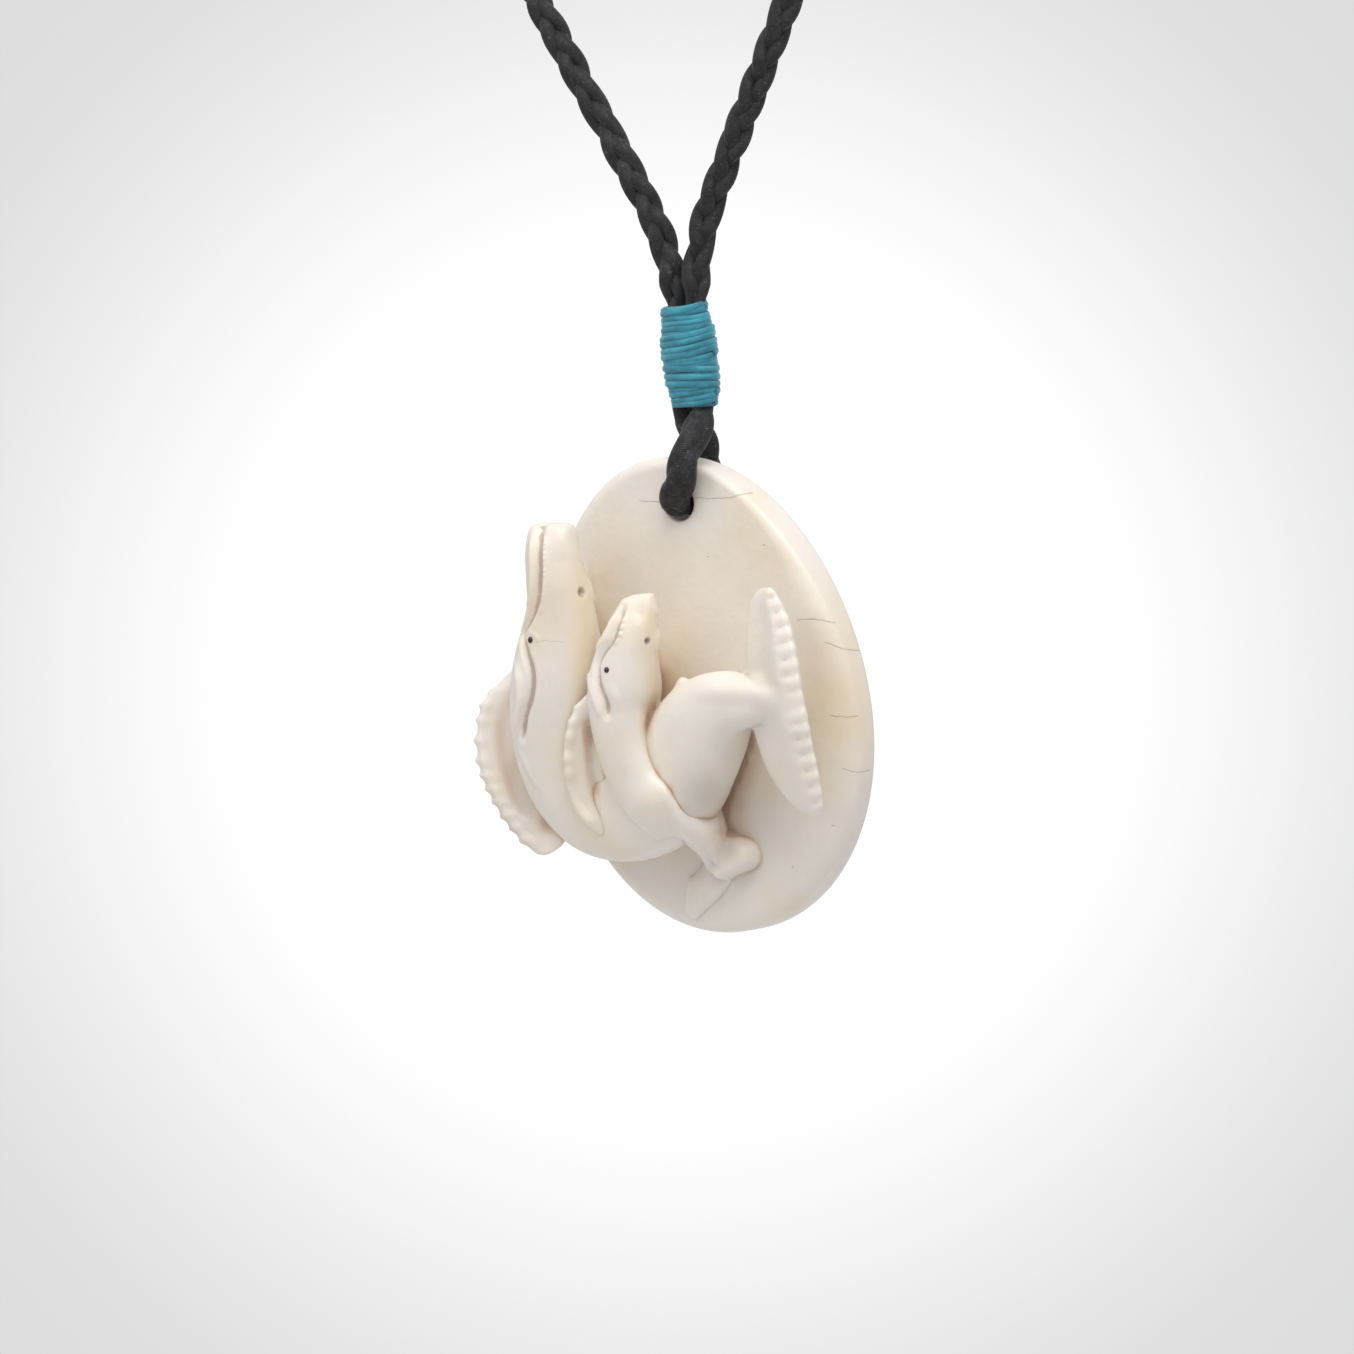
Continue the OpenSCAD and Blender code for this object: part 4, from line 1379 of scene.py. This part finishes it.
@dataclass(frozen=True)
class CordFinish:
    """Black waxed cord: fine fibres along each strand, and wax left grey and brown in places."""

    black: tuple[float, float, float] = (0.009, 0.009, 0.0088)
    waxed: tuple[float, float, float] = (0.024, 0.023, 0.022)
    speck: tuple[float, float, float] = (0.12, 0.10, 0.075)

    def material(self) -> bpy.types.Material:
        """Mix the finish; U runs once round a strand and V along it in millimetres.

        Returns:
            The material.
        """
        recipe = Recipe("waxed_black_cord")
        where = recipe.place()
        along = recipe.add("ShaderNodeUVMap").outputs["UV"]
        turn = recipe.add("ShaderNodeSeparateXYZ", Vector=along)
        slant = recipe.maths("ADD", recipe.maths("MULTIPLY", turn.outputs["Y"], 0.35), turn.outputs["X"])
        fibres = recipe.maths("SINE", recipe.maths("MULTIPLY", slant, 2 * math.pi * 14))
        frayed = recipe.maths("MULTIPLY", fibres, recipe.fade(recipe.noise(where, 0.5, 3.0), 0.3, 0.6))
        wax = recipe.fade(recipe.noise(where, 1.1, 4.0, 0.6), 0.42, 0.7)
        colour = recipe.blend(wax, self.black, self.waxed)
        specks = recipe.fade(recipe.noise(where, 0.32, 2.0, 0.6), 0.63, 0.74)
        colour = recipe.blend(recipe.maths("MULTIPLY", specks, 0.75), colour, self.speck)
        worn = recipe.fade(recipe.noise(where, 0.8, 3.0), 0.3, 0.7, 0.5, 0.72)
        recipe.set(Base_Color=colour, Roughness=worn, Specular_IOR_Level=0.4, Sheen_Weight=0.08,
                   Sheen_Roughness=0.5)
        lumps, grit = recipe.noise(where, 0.7, 2.0), recipe.noise(where, 0.12, 3.0)
        recipe.relief((lumps, 0.08), (frayed, 0.018), (grit, 0.02))
        return recipe.material


@dataclass(frozen=True)
class ThreadFinish:
    """Turquoise waxed thread, each turn a little lighter or darker, and darker in blotches."""

    blue: tuple[float, float, float] = (0.010, 0.15, 0.215)
    light: tuple[float, float, float] = (0.035, 0.31, 0.39)
    shade: tuple[float, float, float] = (0.006, 0.06, 0.10)

    def material(self) -> bpy.types.Material:
        """Mix the finish; U runs once round the thread and V along it in millimetres.

        Returns:
            The material.
        """
        recipe = Recipe("turquoise_thread")
        where = recipe.place()
        along = recipe.add("ShaderNodeUVMap").outputs["UV"]
        turn = recipe.add("ShaderNodeSeparateXYZ", Vector=along)
        slant = recipe.maths("ADD", recipe.maths("MULTIPLY", turn.outputs["Y"], 0.8), turn.outputs["X"])
        twist = recipe.maths("SINE", recipe.maths("MULTIPLY", slant, 2 * math.pi * 5))
        stretched = recipe.scaled(along, (1.0, 0.25, 1.0))
        paler = recipe.fade(recipe.noise(stretched, 0.9, 3.0), 0.35, 0.7)
        darker = recipe.fade(recipe.noise(where, 0.6, 3.0), 0.5, 0.8, 0.0, 0.5)
        colour = recipe.blend(darker, recipe.blend(paler, self.blue, self.light), self.shade)
        recipe.set(Base_Color=colour, Roughness=0.55, Sheen_Weight=1.0, Sheen_Roughness=0.42,
                   Sheen_Tint=(0.5, 0.95, 1.0))
        recipe.relief((twist, 0.012), (recipe.noise(where, 0.15, 3.0), 0.02))
        return recipe.material


def carried(centres: Array, flat: Array, half_wide: Array, half_thick: Array, around: int,
            square: float = 2.0) -> Array:
    """Carry a rounded section along a path.

    The ring at a centre C is C + w sgn(cos a)|cos a|^(2/q) S + h sgn(sin a)|sin a|^(2/q) N, where N is the
    flat direction made square to the path's run T, S is T x N, and q is how square the section is.

    Args:
        centres: The path.
        flat: The way that the flat side looks at each centre.
        half_wide: Half the width at each centre.
        half_thick: Half the thickness at each centre.
        around: Points round the section.
        square: 2 for an ellipse, more for a squarer section.

    Returns:
        The rings.
    """
    run = unit(np.gradient(centres, axis=0))
    normal = unit(flat - (flat * run).sum(1, keepdims=True) * run)
    side = np.cross(run, normal)
    angle = np.linspace(0, 2 * math.pi, around, endpoint=False)
    power = 2.0 / square
    wide = np.sign(np.cos(angle)) * np.abs(np.cos(angle)) ** power
    thick = np.sign(np.sin(angle)) * np.abs(np.sin(angle)) ** power
    return (centres[:, None] + (half_wide[:, None] * wide)[..., None] * side[:, None]
            + (half_thick[:, None] * thick)[..., None] * normal[:, None])


def paint_uv(mesh: bpy.types.Mesh, across: Array, along: Array, whole: Array) -> None:
    """Keep two numbers for each point as a UV map, with no jump inside a face that closes a ring.

    Args:
        mesh: The mesh.
        across: Each point's share of the way round its ring.
        along: Each point's millimetres along its strand.
        whole: Whether a point belongs to a ring rather than to the middle of a cap.
    """
    corner = np.empty(len(mesh.loops), np.int32)
    mesh.loops.foreach_get("vertex_index", corner)
    u = across[corner].reshape(-1, 3)
    wraps = (u.max(1) - u.min(1) > 0.5) & whole[corner].reshape(-1, 3).all(1)
    u = np.where(wraps[:, None] & (u < 0.5), u + 1.0, u)
    layer = mesh.uv_layers.new(name="UVMap")
    layer.data.foreach_set("uv", np.stack([u.ravel(), along[corner]], -1).astype(np.float32).ravel())


def strand_mesh(name: str, strands: list[Array]) -> bpy.types.Mesh:
    """Skin several strands' rings in one mesh, and give them U round and V along.

    Args:
        name: The mesh's name.
        strands: Each strand's rings in millimetres.

    Returns:
        The mesh in the frame.
    """
    points, faces = joined([skin(rings) for rings in strands])
    across, along, whole = [], [], []
    for rings in strands:
        count, around = rings.shape[:2]
        step = np.linalg.norm(np.diff(rings.mean(1), axis=0), axis=1)
        length = np.concatenate([[0.0], np.cumsum(step)])
        across += [np.tile(np.arange(around) / around, count), np.zeros(2)]
        along += [np.repeat(length, around), np.array([0.0, length[-1]])]
        whole += [np.ones(count * around, bool), np.zeros(2, bool)]
    mesh = make_mesh(name, points * MM, faces)
    paint_uv(mesh, np.concatenate(across), np.concatenate(along), np.concatenate(whole))
    return mesh


@dataclass(frozen=True)
class Binding:
    """Where the thread binds the two cords, in millimetres up in the frame."""

    low: float = -196.4
    length: float = 10.6
    strand_x: float = 1.2
    plane_y: float = -100.0
    tight: float = 0.74
    ease: float = 1.6

    def squeeze(self, up: Array) -> Array:
        """Return how full the cord is at each height: squeezed in the whipping, full 2 mm out of it."""
        out = np.maximum(up - self.low - self.length, self.low - up) / self.ease - 0.25
        return self.tight + (1 - self.tight) * np.clip(out, 0, 1)


BINDING = Binding()


@dataclass(frozen=True)
class PlaitedCord:
    """A flat plait of three strands along a route.

    Strand k at s along the route lies A sin(p) aside and B sin(2 p) towards the flat side, where
    p = 2 pi (s / pitch + k / 3).
    """

    name: str
    node: str
    route: tuple[tuple[float, float, float], ...]
    step: float
    around: int
    pitch: float = 12.0
    swing: float = 0.72
    weave: float = 0.48
    half_wide: float = 0.78
    half_thick: float = 0.72
    start: float = 0.0
    uneven_width: float = 0.05
    uneven_turn: float = 0.35
    neck_y: float = -30.0

    def centreline(self) -> tuple[Array, Array]:
        """Run a smooth line along the route.

        Returns:
            Its points at even steps, and the length at each.
        """
        dense = flow(np.array(self.route, float), 30)
        length = np.concatenate([[0.0], np.cumsum(np.linalg.norm(np.diff(dense, axis=0), axis=1))])
        even = np.linspace(0, length[-1], int(length[-1] / self.step) + 1)
        return np.stack([np.interp(even, length, dense[:, k]) for k in range(3)], -1), even

    def strands(self) -> list[Array]:
        """Work out the three strands.

        The flat side looks away from the neck's axis, turned round to the photograph's angle.

        Returns:
            Each strand's rings.
        """
        centres, even = self.centreline()
        run = unit(np.gradient(centres, axis=0))
        toward = unit(np.stack([centres[:, 0], centres[:, 1] - self.neck_y, np.zeros(len(even))], -1))
        view = math.radians(SIGHT.azimuth)
        looks = np.stack([toward[:, 0] * math.cos(view) - toward[:, 1] * math.sin(view),
                          toward[:, 0] * math.sin(view) + toward[:, 1] * math.cos(view), toward[:, 2]], -1)
        normal = unit(looks - (looks * run).sum(1, keepdims=True) * run)
        side = np.cross(run, normal)
        full = BINDING.squeeze(centres[:, 2])
        uneven = 1 + self.uneven_width * np.sin(even * 0.83) * np.sin(even * 0.29 + 1.0)
        rings = []
        for k in range(3):
            phase = 2 * math.pi * (even / self.pitch + self.start + k / 3)
            phase = phase + self.uneven_turn * np.sin(even * 0.21 + k)
            path = centres + (full * self.swing * np.sin(phase))[:, None] * side
            path = path + (full * self.weave * np.sin(2 * phase))[:, None] * normal
            wide = full * self.half_wide * uneven
            rings.append(carried(path, normal, wide, full * self.half_thick, self.around, 2.3))
        return rings

    def build(self, material: bpy.types.Material) -> bpy.types.Object:
        """Plait the cord in the frame."""
        return add_piece(strand_mesh(self.name, self.strands()), material, NECKLACE_BODY, [self.node])


# Places along the cord's centreline, in millimetres in the frame.
NECK_RIGHT = (
    (1.2, -100, -191), (1.2, -100, -189), (1.2, -100, -187), (1.3, -100, -185), (1.7, -100, -182),
    (3.2, -100, -177.5), (7.4, -100, -170), (19, -100, -150), (28, -100, -135), (37, -100, -120),
    (46, -100, -105), (54, -99.5, -90), (62, -97, -75), (69, -91, -60), (74, -82, -47), (76, -71, -36),
    (74, -58, -27), (68, -44, -19), (59, -31, -13), (47, -19, -8), (33, -9, -4), (17, -2.5, -1), (0, 0, 0))
LOOP_FRONT = (
    (1.2, -100, -191), (1.2, -100, -193), (1.2, -100, -196.2), (1.35, -100.55, -197.4),
    (1.7, -102.3, -198.9), (1.85, -103.5, -200.1), (1.5, -104.3, -201.8))
LOOP_BACK = (
    (-2.3, -95.5, -201.8), (-2.25, -95.95, -200.1), (-2.0, -97.45, -198.7), (-1.5, -99.4, -197.4),
    (-1.2, -100, -196.2), (-1.2, -100, -193), (-1.2, -100, -191))


def neck_route() -> tuple[tuple[float, float, float], ...]:
    """Return the neck cord's whole route, up the right strand, over the nape and down the left one."""
    return NECK_RIGHT + tuple((-x, y, z) for x, y, z in NECK_RIGHT[-2::-1])


def loop_route() -> tuple[tuple[float, float, float], ...]:
    """Lead the hanging loop down the front, through the hole and up the back.

    Returns:
        The route.
    """
    bend, hinge = 1.75, -205.5
    middle, front, behind = -0.9, -102.2, -97.5

    def turn(mouth: float, side: float, beside: float, degrees: float) -> tuple[float, float, float]:
        """Find a place on a quarter turn at a mouth of the hole.

        Args:
            mouth: Where the mouth is, from front to back.
            side: -1 for the front, 1 for the back.
            beside: Where the cord stands across, above the turn.
            degrees: How far round the turn, 90 in the hole.

        Returns:
            The place.
        """
        a = math.radians(degrees)
        drop = 1 - math.sin(a)
        return middle + (beside - middle) * drop, mouth + side * bend * math.cos(a), hinge + bend * drop

    inward = tuple(turn(front, -1, 0.55, a) for a in (0, 22.5, 45, 67.5, 90))
    outward = tuple(turn(behind, 1, -2.0, a) for a in (90, 67.5, 45, 22.5, 0))
    return LOOP_FRONT + inward + outward + LOOP_BACK


@dataclass(frozen=True)
class Whipping:
    """Thread wound close round both cords, with a few turns laid askew over the first layer."""

    pitch: float = 0.50
    half_thick: float = 0.17
    half_wide: float = 0.31
    bulge: float = 0.56
    lean: float = 0.045
    around: int = 10
    core_out: float = 1.06
    gathered: float = 0.88
    sharp: float = 3.0

    def reach(self, angle: Array) -> Array:
        """Return the way to the nearer cord at each angle round: -1 to 1, soft where it changes over."""
        return np.tanh(self.sharp * np.cos(angle)) / math.tanh(self.sharp)

    def path(self, turns: float, start_up: float, climb: float, out: float, slant: float,
             wobble: float) -> tuple[Array, Array]:
        """Work out a winding round the two cords.

        At angle a the thread lies beside its cord's centre by the radius times the outward direction. It
        climbs evenly; slant lifts one side of each turn and lowers the other.

        Args:
            turns: How many turns.
            start_up: Height of the first one in the frame.
            climb: Rise for each turn.
            out: Distance of the thread's centre from a cord's centre.
            slant: Half the difference in height across a turn.
            wobble: How uneven the turns are.

        Returns:
            The thread's centres and their outward directions.
        """
        angle = np.linspace(0, 2 * math.pi * turns, int(turns * 64) + 1)
        up = start_up + climb * angle / (2 * math.pi) + slant * np.cos(angle - 0.6)
        waves = np.sin(angle * 0.37 + 1.0) + 0.6 * np.sin(angle * 1.31) + 0.5 * np.sin(angle * 2.17)
        up = up + wobble * waves
        share = np.clip((up - BINDING.low) / BINDING.length, 0, 1)
        swell = self.bulge * np.sin(math.pi * share) ** 0.7 + 0.35 * wobble * np.sin(angle * 0.53)
        outward = np.stack([np.cos(angle), np.sin(angle), np.zeros_like(angle)], -1)
        radius = out + swell
        leant = self.lean * (BINDING.low + BINDING.length / 2 - up)
        across = BINDING.strand_x * self.gathered * self.reach(angle) + radius * np.cos(angle) + leant
        return np.stack([across, BINDING.plane_y + radius * np.sin(angle), up], -1), outward

    def core(self) -> Array:
        """Work out the sleeve that fills the space under the turns.

        Returns:
            Its rings.
        """
        up = np.linspace(BINDING.low + 0.25, BINDING.low + BINDING.length - 0.25, 24)
        angle = np.linspace(0, 2 * math.pi, 48, endpoint=False)
        share = (up - BINDING.low) / BINDING.length
        radius = (self.core_out + self.bulge * np.sin(math.pi * share) ** 0.7)[:, None]
        leant = self.lean * BINDING.length * (0.5 - share)[:, None]
        x = BINDING.strand_x * self.gathered * self.reach(angle)[None, :] + radius * np.cos(angle) + leant
        y = BINDING.plane_y + radius * np.sin(angle)
        return np.stack([x, y, np.repeat(up[:, None], len(angle), 1)], -1)

    def build(self, material: bpy.types.Material) -> bpy.types.Object:
        """Wind the thread in the frame, in one close layer and three runs over it.

        Args:
            material: The thread.

        Returns:
            The piece.
        """
        turns = (BINDING.length - 2 * self.half_wide) / self.pitch
        low = BINDING.low + self.half_wide
        # turns, height of the first, climb of each, distance out, slant, wobble
        windings = (
            (turns, low, self.pitch, 1.19, 0.12, 0.08),
            (3.4, low + 1.6, 0.75, 1.36, -0.30, 0.05),
            (4.2, low + 4.9, 0.62, 1.38, 0.34, 0.06),
            (1.6, low + BINDING.length - 1.1, 0.35, 1.30, 0.42, 0.05))
        strands = [self.core()]
        for numbers in windings:
            centre, outward = self.path(*numbers)
            wide, thick = (np.full(len(centre), half) for half in (self.half_wide, self.half_thick))
            strands.append(carried(centre, outward, wide, thick, self.around))
        return add_piece(strand_mesh("thread_whipping", strands), material, NECKLACE_BODY,
                         ["whipping"])


@dataclass(frozen=True)
class Eye:
    """A small domed inlay."""

    name: str
    node: str
    spot: tuple[float, float]
    radius: float = 0.33
    rise: float = 0.16
    stem: float = 0.7

    def build(self, tree: BVHTree, material: bpy.types.Material) -> bpy.types.Object:
        """Set the dome on the carving where the photograph shows it.

        The profile is a cap of the given rise over a short stem, turned about the surface's normal.

        Args:
            tree: The carving in carving space.
            material: The inlay.

        Returns:
            The piece.
        """
        hit, normal = SIGHT.on_surface(tree, np.array([self.spot]))
        look = unit(normal)[0]
        side = unit(np.cross(look, np.array([0.0, 0.0, 1.0])))
        upward = np.cross(side, look)
        angle = np.linspace(0, 2 * math.pi, 40, endpoint=False)
        share = np.linspace(0, math.pi / 2, 12)[:-1]
        out = np.concatenate([[self.radius * 0.96], self.radius * np.cos(share)])
        height = np.concatenate([[-self.stem], self.rise * np.sin(share)])
        ring = np.cos(angle)[:, None] * side + np.sin(angle)[:, None] * upward
        rings = hit[0] + out[:, None, None] * ring[None] + height[:, None, None] * look
        points, faces = skin(rings)
        mesh = make_mesh(self.name, (points + PLAQUE_CENTRE) * MM, faces)
        return add_piece(mesh, material, PENDANT_BODY, [self.node])


@dataclass(frozen=True)
class Studio:
    """A pale floor well below the pendant, a white surround and soft lamps close above it."""

    seen_edge: float = 0.72
    seen_middle: float = 1.05
    seen_from: float = 0.018
    seen_to: float = 0.085
    light_below: float = 0.36
    light_level: float = 0.56
    light_above: float = 0.86
    light_tone: tuple[float, float, float] = (0.99, 0.98, 1.05)
    floor_up: float = -0.52
    floor_radius: float = 0.75

    def build(self) -> None:
        """Light the scene."""
        self.sky()
        self.floor()
        self.lamp("overhead", (0.13, -0.09, 0.24), 0.16, 0.42)
        self.lamp("front", (-0.30, -0.62, 0.50), 0.5, 1.1)

    def sky(self) -> None:
        """Surround the scene with white, seen brightest straight behind the pendant.

        What lights the scene is another sky, dimmer low down and brightest above.
        """
        world = bpy.data.worlds.new("surround")
        world.use_nodes = True
        bpy.context.scene.world = world
        nodes, links = world.node_tree.nodes, world.node_tree.links
        background = nodes["Background"]
        place = nodes.new("ShaderNodeTexCoord")

        def fade(value: bpy.types.NodeSocket, *numbers: object) -> bpy.types.NodeSocket:
            """Make a smooth step of a value.

            Args:
                value: The value.
                numbers: Its low and high, and what the step gives at each.

            Returns:
                The step's result.
            """
            node = nodes.new("ShaderNodeMapRange")
            node.interpolation_type = "SMOOTHERSTEP"
            links.new(value, node.inputs["Value"])
            for name, number in zip(("From Min", "From Max", "To Min", "To Max"), numbers):
                node.inputs[name].default_value = number
            return node.outputs["Result"]

        far = nodes.new("ShaderNodeVectorMath")
        far.operation = "DISTANCE"
        links.new(place.outputs["Generated"], far.inputs[0])
        far.inputs[1].default_value = tuple(-SIGHT.axes()[2])
        seen = fade(far.outputs["Value"], self.seen_from, self.seen_to, self.seen_middle, self.seen_edge)
        parts = nodes.new("ShaderNodeSeparateXYZ")
        links.new(place.outputs["Generated"], parts.inputs[0])
        low = fade(parts.outputs["Z"], -0.6, 0.1, self.light_below, self.light_level)
        high = fade(parts.outputs["Z"], 0.0, 0.8, 0.0, self.light_above - self.light_level)
        light = nodes.new("ShaderNodeMath")
        links.new(low, light.inputs[0])
        links.new(high, light.inputs[1])
        straight = nodes.new("ShaderNodeLightPath").outputs["Is Camera Ray"]
        chosen = nodes.new("ShaderNodeMix")
        links.new(straight, chosen.inputs[0])
        links.new(light.outputs[0], chosen.inputs[2])
        links.new(seen, chosen.inputs[3])
        links.new(chosen.outputs[0], background.inputs["Strength"])
        tone = nodes.new("ShaderNodeMix")
        tone.data_type = "RGBA"
        links.new(straight, tone.inputs[0])
        tone.inputs[6].default_value = (*self.light_tone, 1.0)
        tone.inputs[7].default_value = (1.0, 1.0, 1.0, 1.0)
        links.new(tone.outputs[2], background.inputs["Color"])

    def floor(self) -> None:
        """Lay a pale round floor."""
        sides, middle = 96, -0.1
        turn = np.linspace(0, 2 * math.pi, sides, endpoint=False)
        rim = np.stack([self.floor_radius * np.cos(turn), self.floor_radius * np.sin(turn) + middle,
                        np.full(sides, self.floor_up)], -1)
        points = np.vstack([rim, [[0.0, middle, self.floor_up]]])
        order = np.arange(sides)
        faces = np.stack([order, (order + 1) % sides, np.full(sides, sides)], -1)
        floor = bpy.data.objects.new("floor", make_mesh("floor", points, faces))
        bpy.context.scene.collection.objects.link(floor)
        recipe = Recipe("pale_floor")
        grain = recipe.noise(recipe.place(), 4.0, 2.0)
        recipe.set(Base_Color=recipe.blend(grain, (0.80, 0.80, 0.79), (0.83, 0.83, 0.82)), Roughness=0.8)
        floor.data.materials.append(recipe.material)

    def lamp(self, name: str, toward: tuple[float, float, float], size: float, power: float) -> None:
        """Hang a large square lamp that looks at the pendant.

        Args:
            name: The lamp's name.
            toward: The way to it from the pendant; its length is the distance in metres.
            size: Its side in metres.
            power: Its power in watts.
        """
        data = bpy.data.lights.new(name, "AREA")
        data.shape = "SQUARE"
        data.size, data.energy = size, power
        lamp = bpy.data.objects.new(name, data)
        bpy.context.scene.collection.objects.link(lamp)
        lamp.location = Vector(PLAQUE_CENTRE * MM) + Vector(toward)
        lamp.rotation_euler = Vector(toward).to_track_quat("Z", "Y").to_euler()
        lamp.visible_camera = False


def main() -> None:
    """Build the pendant, its cord and the studio in order."""
    bpy.context.scene.view_settings.view_transform = "Standard"
    SIGHT.camera()
    cord = CordFinish().material()
    PlaitedCord("plaited_neck_cord", "neck_cord", neck_route(), step=0.42, around=12).build(cord)
    PlaitedCord("plaited_hanging_loop", "hanging_loop", loop_route(), step=0.12, around=18, pitch=14.0,
                swing=0.62, weave=0.36, half_wide=0.98, half_thick=0.86, start=0.1).build(cord)
    Whipping().build(ThreadFinish().material())
    ivory = IvoryFinish().material()
    plaque = Plaque()
    parts = {"carved_plaque": make_mesh("slab", *plaque.surface())}
    parts.update({whale.name: whale.carved() for whale in (MOTHER_WHALE, FLIPPER_PART, CALF_WHALE)})
    trees = {name: surface_tree(mesh) for name, mesh in parts.items()}
    occlusion_shade = Shelter(list(parts.values()))
    drilled = {whale.name: whale.drilled for whale in (MOTHER_WHALE, CALF_WHALE)}
    drilled["carved_plaque"] = [plaque.bore()]
    for name, mesh in parts.items():
        finish_ivory(mesh, name, drilled.get(name, []), occlusion_shade, ivory)
    inlay = InlayFinish().material()
    Eye("mother_eye_inlay", "mother_eye", (-16.25, 5.6)).build(trees["carved_mother"], inlay)
    Eye("calf_eye_inlay", "calf_eye", (-8.6, 2.6), radius=0.3, rise=0.14).build(trees["carved_calf"], inlay)
    Studio().build()


if __name__ == "__main__":
    logging.basicConfig(level=logging.INFO, format="%(name)s: %(message)s")
    main()
